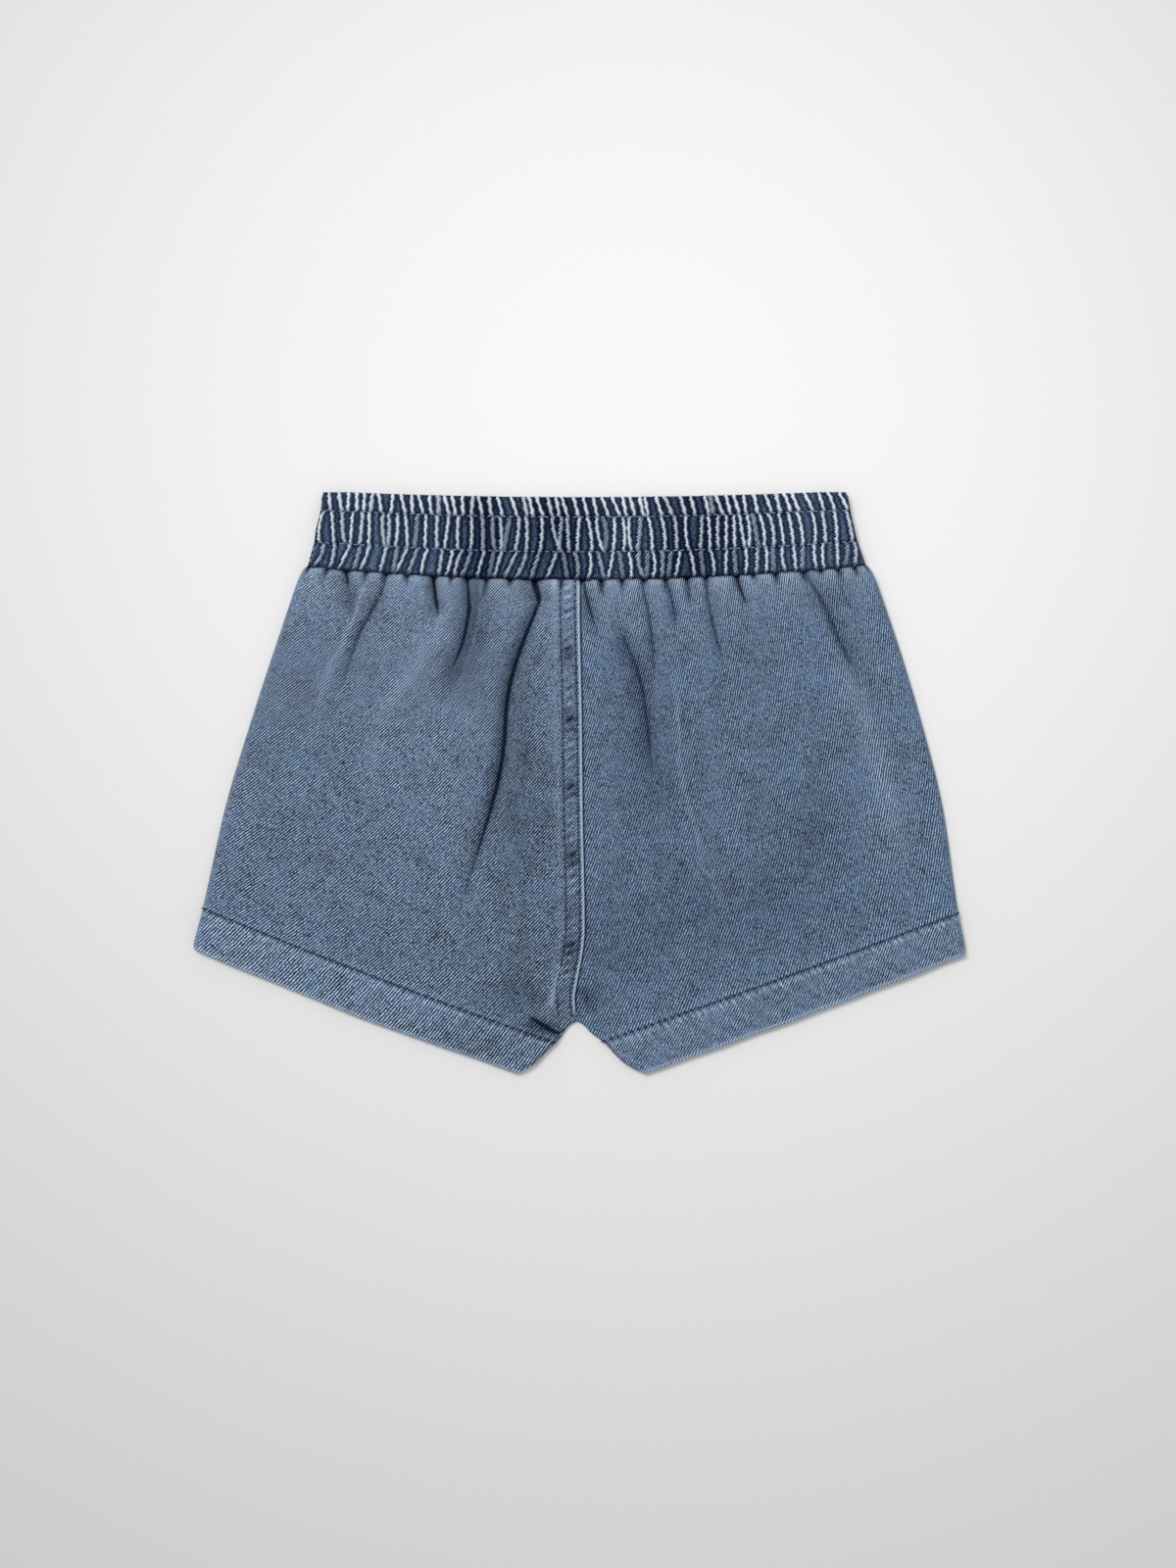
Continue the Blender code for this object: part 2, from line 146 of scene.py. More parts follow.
# Folds of the back: name, depth (below zero for a swell), width on its left and on its right, how dark its
# bottom is painted with shade, with dye held there (for a swell, how far abrasion pales its crest), how dark
# the painted soft shade around it is, and its line.
FOLDS = (
    ("notch 1", 2.2, 1.5, 1.8, 1.1, 0.3, ((-98.6, 89.4), (-97.6, 84.9), (-97.0, 80.5))),
    ("gather 2", 1.2, 2.4, 2.4, 0.35, 0.5, ((-97.2, 86.0), (-96.2, 80.5), (-94.5, 73.4), (-95.5, 66.0))),
    ("gather 3", 2.0, 1.2, 2.2, 0.78, 0.3, (
        (-80.6, 88.6), (-83.4, 80.0), (-87.9, 71.3), (-93.3, 61.1), (-98.6, 44.7), (-101.5, 36.0),
    )),
    ("notch 4", 1.1, 1.0, 1.6, 0.7, 0.2, ((-72.8, 88.1), (-72.5, 81.6))),
    ("notch 5", 3.0, 1.8, 1.6, 1.3, 0.40, ((-61.9, 88.6), (-61.3, 82.6), (-60.1, 73.4), (-59.4, 66.0))),
    ("gather 6", 2.4, 1.5, 2.2, 1.3, 0.50, (
        (-47.4, 86.1), (-46.9, 77.0), (-46.9, 71.3), (-49.4, 59.0), (-54.3, 46.7), (-57.5, 39.0),
    )),
    ("pleat 7", 1.0, 3.2, 3.2, 0.35, 0.62, (
        (-42.6, 86.1), (-42.8, 73.4), (-46.0, 58.0), (-52.5, 40.7), (-55.0, 30.0),
    )),
    ("notch 7", 1.6, 1.2, 1.4, 0.8, 0.2, ((-39.6, 86.4), (-40.4, 80.5), (-42.6, 72.3))),
    ("notch 8", 1.1, 1.0, 1.6, 0.7, 0.2, ((-29.9, 86.9), (-29.7, 81.4))),
    ("pocket 9", 3.2, 3.6, 3.0, 1.4, 0.5, ((-20.5, 87.9), (-18.9, 82.6), (-17.4, 76.8), (-18.4, 70.5))),
    ("long fold", 3.2, 1.9, 1.9, 1.45, 0.50, (
        (-16.8, 80.1), (-18.9, 71.8), (-23.6, 60.3), (-28.5, 45.6), (-31.0, 32.4), (-32.1, 16.5),
        (-34.6, 0.6), (-40.2, -19.5), (-45.7, -36.9), (-50.4, -53.5), (-55.0, -68.0),
    )),
    ("gather 10", 2.2, 1.7, 1.9, 0.9, 0.4, (
        (1.2, 86.0), (1.9, 81.0), (3.7, 73.4), (6.0, 66.0), (8.6, 58.6),
    )),
    ("gather 11", 1.4, 1.0, 1.6, 0.75, 0.3, ((8.2, 86.0), (8.8, 81.6), (10.3, 75.5))),
    ("notch 12", 1.1, 0.9, 1.5, 0.75, 0.2, ((16.6, 87.1), (17.6, 80.4))),
    ("gather 13", 1.5, 1.0, 1.7, 0.75, 0.25, (
        (25.4, 86.9), (26.6, 79.1), (28.7, 68.5), (30.5, 52.0), (31.0, 30.0),
    )),
    ("right fold", 1.7, 2.4, 2.2, 0.85, 0.48, (
        (15.4, 65.2), (21.5, 52.9), (25.6, 40.6), (28.1, 24.2), (29.7, 3.7), (30.0, -12.6),
    )),
    ("gather 14", 1.5, 1.0, 1.8, 0.8, 0.4, ((35.1, 87.1), (37.5, 79.1), (39.5, 69.4), (40.0, 60.0))),
    ("gather 15", 1.2, 1.0, 1.8, 0.75, 0.4, ((44.1, 87.5), (45.1, 79.9), (45.8, 70.6))),
    ("gather 16", 1.6, 1.0, 1.8, 0.75, 0.28, (
        (52.3, 88.5), (53.1, 77.5), (55.6, 65.2), (58.4, 54.9), (61.9, 43.0),
    )),
    ("gather 17", 2.0, 1.3, 1.7, 1.0, 0.3, ((65.0, 88.4), (67.0, 80.5), (71.7, 70.4))),
    ("notch 18", 0.9, 0.9, 1.5, 0.6, 0.2, ((81.8, 89.1), (83.0, 84.0))),
    ("gather 19", 1.9, 1.0, 4.0, 0.70, 0.42, (
        (93.3, 88.9), (97.4, 82.0), (101.8, 74.4), (105.6, 65.2), (110.5, 54.9), (114.6, 44.7),
        (118.9, 29.0),
    )),
    ("gather 20", 1.0, 1.2, 2.0, 0.45, 0.2, ((107.4, 89.6), (109.2, 80.8), (113.8, 71.6), (119.9, 60.1))),
    ("crotch fold", 0.8, 3.0, 3.4, 0.15, 0.30, (
        (-34.8, -81.6), (-26.4, -85.6), (-18.5, -88.5), (-11.5, -92.8),
    )),
    ("crotch dip", 1.7, 2.0, 2.2, 1.5, 0.50, (
        (-22.0, -97.6), (-16.5, -101.2), (-12.0, -103.8), (-9.0, -104.6), (-5.6, -103.0),
    )),
    ("right crotch dip", 0.6, 2.0, 2.4, 0.3, 0.5, ((2.1, -84.4), (3.9, -91.0), (7.6, -98.2))),
    ("left swell", -0.8, 3.2, 3.8, 0.27, 0.0, (
        (-58.8, 73.4), (-59.2, 63.1), (-66.0, 54.5), (-72.0, 44.0), (-80.5, 31.0), (-87.0, 8.0),
        (-96.0, -18.0),
    )),
    ("far left swell", -0.8, 1.3, 2.0, 0.34, 0.0, (
        (-90.9, 84.0), (-93.0, 75.0), (-96.3, 65.6), (-105.0, 48.4), (-109.3, 35.3), (-113.7, 24.6),
    )),
    ("right swell", -0.6, 1.1, 1.3, 0.24, 0.0, (
        (40.0, 46.0), (41.2, 20.0), (42.0, 3.7), (46.6, -14.5), (51.0, -32.8), (55.2, -60.6),
    )),
    ("short swell", -0.4, 1.2, 1.2, 0.22, 0.0, ((53.0, -36.0), (59.0, -49.0), (62.5, -57.0))),
    ("far right swell", -0.8, 4.4, 4.8, 0.24, 0.0, (
        (105.6, 52.9), (113.0, 40.6), (117.9, 28.3), (126.1, 3.7), (132.0, -20.0), (141.0, -40.0),
    )),
    ("crotch swell", -0.8, 1.6, 1.6, 0.38, 0.0, (
        (-8.2, -74.8), (-10.0, -83.2), (-12.9, -92.7), (-20.6, -99.7),
    )),
)

# Patches where the cloth is made paler or darker: x, y, half width, half height, how much paler or darker.
PATCHES = (
    (-105.0, 5.0, 34.0, 80.0, -0.06), (-109.0, 81.0, 12.0, 8.0, 0.10), (-42.0, -107.0, 26.0, 13.0, -0.25),
    (-114.0, 88.0, 6.0, 6.0, 0.22), (-140.0, -68.0, 26.0, 12.0, 0.10), (85.0, 10.0, 60.0, 90.0, -0.10),
    (-25.0, -12.0, 15.0, 38.0, -0.33), (-24.0, 38.0, 9.0, 26.0, -0.22), (-42.0, 62.0, 6.0, 18.0, -0.16),
    (18.0, 42.0, 16.0, 24.0, -0.12), (30.0, 0.0, 22.0, 34.0, -0.20), (62.0, -52.0, 38.0, 20.0, -0.20),
    (12.0, -66.0, 26.0, 24.0, -0.16), (-30.0, -72.0, 34.0, 16.0, -0.12), (-24.0, -90.0, 14.0, 7.0, -0.14),
    (-20.0, -103.0, 9.0, 4.0, -0.30), (100.0, -22.0, 22.0, 26.0, -0.12), (125.0, -14.0, 13.0, 22.0, 0.12),
    (70.0, 50.0, 24.0, 20.0, -0.06), (-70.0, -52.0, 30.0, 22.0, -0.05),
)

# ---- curves and shapes ----

def columns_of(table):
    """The columns of a table as arrays."""
    return [np.array(column, dtype=float) for column in zip(*table)]


def look_up(table, at):
    """Reads a table of two columns between its rows."""
    return np.interp(at, *columns_of(table))


def smooth_line(points, steps=8):
    """A soft curve through the points (Catmull-Rom)."""
    points = np.array(points, dtype=float)
    ends = np.vstack([2 * points[0] - points[1], points, 2 * points[-1] - points[-2]])
    share = np.linspace(0.0, 1.0, steps, endpoint=False)[:, None]
    pieces = []
    for a, b, c, d in zip(ends, ends[1:], ends[2:], ends[3:]):
        pieces.append(0.5 * (
            2 * b + (c - a) * share + (2 * a - 5 * b + 4 * c - d) * share ** 2
            + (3 * b - a - 3 * c + d) * share ** 3
        ))
    return np.vstack(pieces + [points[-1:]])


def along_line(line, share):
    """Points at the given shares of a line's length."""
    lengths = np.concatenate([[0.0], np.cumsum(np.hypot(*np.diff(line, axis=0).T))])
    at = np.asarray(share) * lengths[-1]
    return np.interp(at, lengths, line[:, 0]), np.interp(at, lengths, line[:, 1])


def beside_line(line, x, y):
    """How far points lie from a line, on which side of it (below zero: its left) and how far along it."""
    away = np.full(x.shape, np.inf)
    side = np.zeros(x.shape)
    share = np.zeros(x.shape)
    for step, (start, end) in enumerate(zip(line, line[1:])):
        run = end - start
        ex = x - start[0]
        ey = y - start[1]
        part = np.clip((ex * run[0] + ey * run[1]) / (run @ run), 0.0, 1.0)
        gap = np.hypot(ex - part * run[0], ey - part * run[1])
        closer = gap < away
        away = np.where(closer, gap, away)
        side = np.where(closer, np.sign(run[0] * ey - run[1] * ex), side)
        share = np.where(closer, (step + part) / (len(line) - 1), share)
    return away, side, share


def ease(low, high, value):
    """0 at low, 1 at high and an even curve between them."""
    share = np.clip((value - low) / (high - low), 0.0, 1.0)
    return share * share * (3.0 - 2.0 * share)


def bell(offset, width):
    """1 at no offset, falling off evenly on both sides."""
    return np.exp(-(offset / width) ** 2)


def round_over(distance, radius):
    """Quarter round: 0 at an edge, 1 from the radius on."""
    inside = 1.0 - np.clip(distance / radius, 0.0, 1.0)
    return np.sqrt(1.0 - inside * inside)


def stray_wave(along, pitch, stray, slow, place=None):
    """A wave of a given pitch whose crests stray to and fro, slowly, with the place along the line."""
    place = along if place is None else place
    return np.sin(math.tau * along / pitch + stray * np.sin(place / slow))


def unevenness(x, y, size, seed):
    """Slow waves of a given size, between about -1 and 1."""
    rng = np.random.default_rng(seed)
    total = np.zeros_like(x)
    for _ in range(7):
        angle = rng.uniform(0.0, math.tau)
        turns = math.tau / (size * rng.uniform(0.7, 1.6))
        total += np.sin(turns * (x * math.cos(angle) + y * math.sin(angle)) + rng.uniform(0.0, math.tau))
    return total / 3.2


def run_on(values, above=0, below=0):
    """Repeats a grid's first and last rows beyond them."""
    return np.pad(values, ((above, below), (0, 0)), mode="edge")


def turned_rows(x, y, z, z_end, outward, reach, angles):
    """Rows of points round the fold of a turned edge, from its last row to the level behind it."""
    rows = []
    for angle in np.radians(angles):
        level = 0.5 * (z + z_end) + 0.5 * (z - z_end) * math.cos(angle)
        out = reach * math.sin(angle)
        rows.append((x + outward[0] * out, y + outward[1] * out, level))
    return rows


def band_foot(x):
    """Height of the band's foot."""
    return BAND_FOOT_MIDDLE + BAND_FOOT_RISE * (x / BAND_HALF_SPAN) ** 2


def band_top(x):
    """Height of the band's top edge."""
    return BAND_TOP_MIDDLE + BAND_TOP_RISE * np.minimum(1.0, np.abs(x) / BAND_HALF_SPAN) ** 2


def patch_tone(x, y):
    """How much paler (above zero) or darker the cloth is by its patches."""
    tone = np.zeros_like(x)
    for across, up, half_width, half_height, amount in PATCHES:
        tone += amount * np.exp(-(((x - across) / half_width) ** 2 + ((y - up) / half_height) ** 2))
    return tone


def fold_shape(x, y):
    """Lift of all folds at each point, the painted shade (with held dye) of the creases, and how far it is
    paled on a swell's crest by abrasion and on a crease's lip by a painted highlight.
    """
    lift = np.zeros_like(x)
    crease = np.zeros_like(x)
    crest = np.zeros_like(x)
    for _, depth, left_width, right_width, mark_strength, shade, points in FOLDS:
        line = smooth_line(points, 5)
        reach = 4.0 * max(left_width, right_width)
        near = (x > line[:, 0].min() - reach) & (x < line[:, 0].max() + reach)
        near &= (y > line[:, 1].min() - reach) & (y < line[:, 1].max() + reach)
        away, side, share = beside_line(line, x[near], y[near])
        width = np.where(side < 0.0, left_width, right_width)
        from_band = points[0][1] > band_foot(points[0][0]) - 3.0
        start = 1.0 if from_band else ease(0.0, 0.10, share)
        strength = start * (1.0 - ease(0.60, 1.0, share))
        if depth < 0.0:
            lift[near] -= depth * bell(away, 1.3 * width) * strength
            crest[near] += mark_strength * bell(away, width) * strength
            continue
        cusp = np.exp(-away / (0.75 * width)) * strength
        wide = bell(away, 2.6 * width) * strength
        lift[near] -= depth * (0.70 * cusp + 0.30 * wide)
        # Painted shade: a dark core along the crease and a soft shade around it.
        belly = 0.42 + 0.85 * np.sin(math.pi * np.minimum(1.0, 0.10 + share))
        core = bell(away, np.minimum((0.24 + 0.30 * width) * belly, 1.6))
        soft = bell(away, 2.4 * width) * np.where(side < 0.0, 1.0, 0.7)
        crease[near] = np.maximum(crease[near], np.maximum(mark_strength * core, shade * soft) * strength)
        # Painted highlight on the lip beside the crease.
        lip = bell(side * away - 2.1 * right_width, right_width)
        crest[near] += 0.08 * lip * strength * min(1.0, depth / 2.0)
    return lift, np.clip(crease, 0.0, 1.0), np.clip(crest, 0.0, 1.0)


# ---- the panels ----

class Plan:
    """A panel's grid seen from above, with the distances that its parts are measured by."""

    def __init__(self, x, y, away, from_side, row):
        self.x = x
        self.y = y
        self.away = away
        self.from_side = from_side
        self.row = row
        self.below_band = band_foot(x) - y
        self.below_stitches = (row - HEM_ROW) * PANEL_LENGTH

    def tucked(self, side, steps):
        """The grid with rows added above it, each so far up under the band and so far in from the side."""
        inward = -side * np.exp(-self.from_side[:1] / 5.0)
        x = np.vstack([self.x[:1] + pull * inward for _, pull in steps] + [self.x])
        y = np.vstack([self.y[:1] + up for up, _ in steps] + [self.y])
        rest = [run_on(values, above=len(steps)) for values in (self.away, self.from_side, self.row)]
        return Plan(x, y, *rest)


class Half(NamedTuple):
    """The left or right half of the shorts, from the centre seam to the side fold."""

    side: float
    inseam: tuple
    side_line: tuple
    hem_bow: float
    hem_wear: float
    hem_tone: float
    felted: float

    def ends(self, rows):
        """Both ends of the rows: on the centre seam or inseam, and on the side fold."""
        upper = along_line(smooth_line(CENTRE_SEAM), np.minimum(rows / CROTCH_ROW, 1.0))
        below_crotch = np.maximum((rows - CROTCH_ROW) / (1.0 - CROTCH_ROW), 0.0)
        lower = along_line(smooth_line(self.inseam), below_crotch)
        inner = [np.where(rows <= CROTCH_ROW, a, b) for a, b in zip(upper, lower)]
        reach = np.interp(rows, (0.0, HEM_ROW, 1.0), (0.0, HEM_ROW_AT_SIDE, 1.0))
        return inner, along_line(smooth_line(self.side_line), reach)

    def lay_out(self, rows, columns):
        """The grid's plan: columns gives each row's distances from the centre edge for the row's width."""
        inner, outer = self.ends(rows)
        width = np.hypot(outer[0] - inner[0], outer[1] - inner[1])[:, None]
        away = columns(width)
        share = away / width
        x = inner[0][:, None] + share * (outer[0] - inner[0])[:, None]
        y = inner[1][:, None] + share * (outer[1] - inner[1])[:, None]
        row = rows[:, None]
        y = y - self.hem_bow * np.sin(math.pi * np.clip(share, 0.0, 1.0)) * row ** 3
        y = y + (band_foot(x) - y) * np.clip(1.0 - row, 0.0, 1.0) ** 40
        from_side = width - away
        corner = ease(0.955, 1.0, row)
        pull = HEM_CORNER * corner * np.maximum(0.0, 1.0 - from_side / HEM_CORNER) ** 2
        inner_pull = INNER_CORNER * corner * np.maximum(0.0, 1.0 - away / INNER_CORNER) ** 2
        x = x - self.side * 0.35 * (pull - inner_pull)
        y = y + 0.45 * pull + 0.30 * inner_pull
        return Plan(x, y, away, from_side, row)


def spread(fine, fine_step, coarse_step, edge, edge_step, lap=None):
    """Columns across a panel: fine ones by the centre edge, even ones, and fine ones by the side fold."""
    inner = np.arange(0.0, fine, fine_step)
    outer = np.arange(edge, -1e-6, -edge_step)
    count = max(2, int(round((PANEL_WIDEST - fine - edge) / coarse_step)))
    middle = np.arange(count) / count

    def columns(width):
        first = np.broadcast_to(inner, (len(width), len(inner)))
        under = [] if lap is None else [-lap, -0.5 * lap]
        return np.hstack([*under, first, fine + middle * (width - fine - edge), width - outer])

    return columns


def grain(x, y, side):
    """Cloth coordinates in metres: u along the weft, v along the warp, which fans out from the waist."""
    dx = x + side * WARP_APEX[0]
    dy = WARP_APEX[1] - y
    return np.arctan2(dx, dy) * WARP_REACH * MM, -np.hypot(dx, dy) * MM


def gather_notches(x, below):
    """Short pinches where the gathers run out below the band, 0 to 1."""
    total = np.zeros_like(x)
    for number, place in enumerate(NOTCHES):
        length = 4.0 + 1.8 * math.sin(number * 2.3)
        offset = np.abs(x - place - 0.0035 * place * below)
        pinch = np.exp(-(offset / 1.15) ** 1.6) * bell(np.maximum(0.0, below), length)
        total = np.maximum(total, pinch)
    return total


def tuft_rise(x):
    """How far the cloth puffs up over the band's foot between its gathers."""
    share = np.interp(x, NOTCHES, np.arange(len(NOTCHES))) % 1.0
    height = 1.1 + 0.35 * np.sin(x / 7.0)
    return height * (1.0 - np.abs(2.0 * share - 1.0) ** 3) - 0.3


def hem_ticks(along, below_stitches):
    """Thin ridges that run down from the hem's stitches, paled by abrasion, of uneven length, 0 to 1."""
    rng = np.random.default_rng(SEED + 5)
    total = np.zeros_like(along)
    for place in np.cumsum(rng.uniform(1.6, 7.0, 40)):
        length = rng.uniform(2.0, 9.0)
        run = ease(0.4, 1.4, below_stitches) * (1.0 - ease(0.4 * length, length, below_stitches))
        total = total + bell(along - place, 0.42) * run
    return np.clip(total, 0.0, 1.0)


# Each part of the back's skin below gives its lift, how far it is paled (by abrasion, and in places by a
# painted highlight), how far it is darkened (by painted shade, and in places by dye held in folds) and its
# tone.

def gathered_cloth(plan):
    """The folds, the slack between them, and the tufts and pinches below the band."""
    x, y, below = plan.x, plan.y, plan.below_band
    folds, crease, crest = fold_shape(x, y)
    notch = gather_notches(x, below)
    slack = 0.28 * unevenness(x, y, 34.0, SEED) * ease(4.0, 30.0, below)
    ripple = 0.22 * stray_wave(x, 5.6, 1.4, 9.0) * np.exp(-np.maximum(0.0, below) / 7.0)
    # Painted highlight on the puffed-up tufts below the band.
    tuft = np.exp(-np.maximum(0.0, below - 0.8) / 6.5) * (1.0 - crease) * (1.0 - notch)
    lift = folds + slack + ripple - 2.0 * notch
    # Painted shade in the creases and notches, and a painted shadow of the band along its foot.
    deep = 0.95 * np.maximum(crease, notch) + 0.9 * bell(np.maximum(0.0, below), 0.55)
    return lift, crest + 0.47 * tuft, deep, patch_tone(x, y)


def turned_hem(plan, half):
    """The hem's double cloth, roped along its edge, with the dip of its stitches, painted shade in dashes
    along that dip, and ridges paled by abrasion.
    """
    away, below = plan.away, plan.below_stitches
    double = ease(HEM_ROW - 0.012, HEM_ROW - 0.004, plan.row)
    stitch_line = bell(below, 0.9)
    dash = 0.5 + 0.5 * np.sin(math.tau * away / STITCH_PITCH)
    roping = stray_wave(away - ROPING_SLANT * below, ROPING_PITCH, 1.2, 17.0, away)
    tick = hem_ticks(away + 0.25 * below, below)
    lift = HEM_RISE * double - 0.45 * stitch_line + 0.22 * roping * np.exp(-np.abs(below) / 5.0)
    lift = lift + 0.16 * tick - 0.7 * ease(10.0, 17.5, below)
    pale_dots = bell(below - 2.2, 1.0) + 0.6 * bell(below + 1.5, 0.8)
    fray = 0.75 + 0.25 * stray_wave(away, 1.3, 2.0, 2.9)
    edge = fray * bell((HEM_EDGE_ROW - plan.row) * PANEL_LENGTH, 0.9)
    worn = 0.42 * pale_dots * (1.0 - dash) + 0.42 * tick + 0.60 * edge + half.hem_wear * double
    # Painted shade in dashes along the sunk stitch line.
    deep = stitch_line * (0.22 + 0.60 * dash ** 2) + 0.25 * dash * bell(below - 0.9, 0.7)
    return lift, worn, deep, (half.hem_tone + 0.10 * roping) * double


def lapped_seam(plan):
    """The felled edge of the left panel: two sunk stitch rows, puckered between, and a ridge beside them,
    with painted shade in the sunk rows and the dips of the puckers.
    """
    x, y, away = plan.x, plan.y, plan.away
    on_seam = ease(*SEAM_END, y)
    lap = LAP_RISE * round_over(away, 0.7) * (1.0 - ease(LAP_WIDTH - 0.4, LAP_WIDTH + 1.0, away))
    sunk = bell(away - LAP_STITCH, 0.45) + bell(away - LAP_WIDTH, 0.5)
    between = bell(away - 5.2, 2.4)
    pucker = 0.13 * stray_wave(y, PUCKER_PITCH, 1.3, 11.0) * between
    big_pucker = between * sum(bell(y - place, 3.6) for place in SEAM_PUCKERS)
    ridge = bell(away - 10.6, 1.3)
    rise = 0.22 * ridge * (1.0 + np.sin(math.tau * y / 8.3))
    swing = between * stray_wave(y + 0.5 * away, PUCKER_PITCH, 1.3, 11.0, y)
    patchy = np.clip(0.7 + 0.8 * unevenness(x, y, 7.0, SEED + 9), 0.1, 1.2)
    lift = lap + pucker - 0.3 * sunk - 0.3 * big_pucker + rise
    worn = 0.95 * bell(away - 0.55, 0.62) + 0.16 * ridge + 0.55 * patchy * np.maximum(-swing, 0.0) ** 2
    # Painted shade in the sunk rows and the big puckers' dips; the roping between the rows is paler and
    # darker in turn.
    deep = 0.5 * sunk + 0.7 * big_pucker + 0.6 * patchy * np.maximum(swing, 0.0)
    return on_seam * lift, on_seam * worn, on_seam * deep, 0.0


def seam_ditch(plan):
    """The right panel's edge, which runs in under the lap, with a painted shadow along its ditch."""
    ditch = bell(plan.away - 0.15, 0.5) * ease(*SEAM_END, plan.y)
    return -0.5 * ditch - 0.8 * (plan.away < 0.0), 0.0, 0.9 * ditch, 0.0


def crotch_twist(plan):
    """Small twisted ridges where the seams meet at the crotch, paler on their crests, with painted shade in
    their troughs.
    """
    x, y = plan.x, plan.y
    near = bell(np.hypot(x - CROTCH_TWIST[0], y - CROTCH_TWIST[1]), 4.6)
    ridge = stray_wave(0.8 * x - 0.6 * y, 1.7, 0.6, 1.0, y)
    worn = 0.40 * near * np.maximum(ridge, 0.0)
    deep = 0.55 * near * np.maximum(-ridge, 0.0)
    return 0.28 * near * ridge, worn, deep, 0.0


def closed_edge(plan):
    """Quarter round along the closed inseam and over the crotch, 0 at the edge."""
    away = np.abs(plan.away)
    above = np.maximum(0.0, plan.y - CROTCH[1])
    return round_over(np.where(plan.row >= CROTCH_ROW, away, np.hypot(away, above)), INSEAM_ROLL)


def sheet(name, x, y, z, u, v, material, flip=False, worn=0.0, deep=0.0, tone=0.0, felted=0.0):
    """A cloth sheet from a grid of points, with its cloth coordinates and its painted abrasion, highlight,
    shade, tone and felting.
    """
    mesh = bpy.data.meshes.new(name)
    index = np.arange(x.size).reshape(x.shape)
    corners = [index[:-1, :-1], index[1:, :-1], index[1:, 1:], index[:-1, 1:]]
    if flip:
        corners.reverse()
    quads = np.stack([c.ravel() for c in corners], axis=1)
    points = np.stack([x, y, z], axis=-1).reshape(-1, 3) * MM
    mesh.from_pydata(points.tolist(), [], quads.tolist())
    cloth = mesh.uv_layers.new(name="Cloth")
    uv = np.stack([u.ravel(), v.ravel()], axis=1)[quads.ravel()]
    cloth.data.foreach_set("uv", uv.ravel().astype(np.float32))
    for label, values in (("worn", worn), ("deep", deep), ("tone", tone), ("felted", felted)):
        layer = mesh.attributes.new(label, "FLOAT", "POINT")
        layer.data.foreach_set("value", np.broadcast_to(values, x.shape).ravel().astype(np.float32))
    mesh.polygons.foreach_set("use_smooth", np.ones(len(quads), dtype=bool))
    mesh.materials.append(material)
    mesh.update()
    piece = bpy.data.objects.new(name, mesh)
    bpy.context.scene.collection.objects.link(piece)
    return piece


def hemmed_sheet(name, x, y, z, u, v, inner_z, inner_rows, material, flip=False, **painted_marks):
    """A panel's sheet with its hem turned: round the fold, and back up inside at the given rows."""
    inward = np.stack([x[-8] - x[-1], y[-8] - y[-1]])
    outward = -inward / np.hypot(*inward)
    reach = 0.5 * np.abs(z[-1] - inner_z)
    turned = turned_rows(x[-1], y[-1], z[-1], inner_z, outward, reach, (30, 60, 90, 120, 150, 180))
    for step in inner_rows:
        turned.append((x[-1 - step], y[-1 - step], np.broadcast_to(inner_z, x[-1].shape)))
    more = len(turned)
    painted_marks = {label: run_on(np.broadcast_to(values, x.shape), below=more) for label, values in painted_marks.items()}
    x, y, z = [np.vstack([grid, *rows]) for grid, rows in zip((x, y, z), zip(*turned))]
    u, v = run_on(u, below=more), run_on(v, below=more)
    v[-more:] -= (np.arange(more) + 1.0)[:, None] * 0.35 * MM
    return sheet(name, x, y, z, u, v, material, flip, **painted_marks)


def back_panel(name, half, material):
    """A back panel: gathered at the band, folded over at the side, with its turned hem."""
    rows = np.concatenate([
        np.linspace(0.0, 0.12, 44, endpoint=False),
        np.linspace(0.12, 0.87, 150, endpoint=False),
        np.linspace(0.87, 0.93, 26, endpoint=False),
        np.linspace(0.93, HEM_EDGE_ROW, 24),
    ])
    left = half.side < 0.0
    lap = UNDER_LAP * (1.0 - ease(CROTCH_ROW - 0.05, CROTCH_ROW - 0.01, rows))[:, None]
    plan = half.lay_out(rows, spread(12.0, 0.3, 0.58, 4.0, 0.25, None if left else lap))
    plan.y = plan.y + tuft_rise(plan.x) * (1.0 - plan.row) ** 60
    plan = plan.tucked(half.side, ((3.0, 2.8), (0.8, 1.2)))

    seam = lapped_seam(plan) if left else seam_ditch(plan)
    parts = (gathered_cloth(plan), turned_hem(plan, half), seam, crotch_twist(plan))
    lift, worn, deep, tone = [sum(values) for values in zip(*parts)]

    level = look_up(EDGE_LEVEL, plan.row)
    z = look_up(FRONT_TOP, plan.row) + look_up(BACK_LOFT, plan.below_band) + lift
    flat = level + (z - level) * closed_edge(plan)
    z = level + (flat - level) * round_over(plan.from_side, SIDE_ROLL)
    u, v = grain(plan.x, plan.y, half.side)
    u = u + half.side * (0.9 * (flat - z) + HEM_SHEAR * np.maximum(0.0, plan.below_stitches)) * MM
    z = np.where(plan.below_band < 0.0, np.minimum(z, UNDER_BAND), z)
    return hemmed_sheet(
        name, plan.x, plan.y, z, u, v, np.minimum(2.35, z[-1] - 0.1), (4, 15), material,
        worn=np.clip(worn + 0.35 * bell(plan.from_side, 0.8), 0.0, 1.0),
        deep=np.clip(deep, 0.0, 1.0), tone=tone, felted=half.felted,
    )


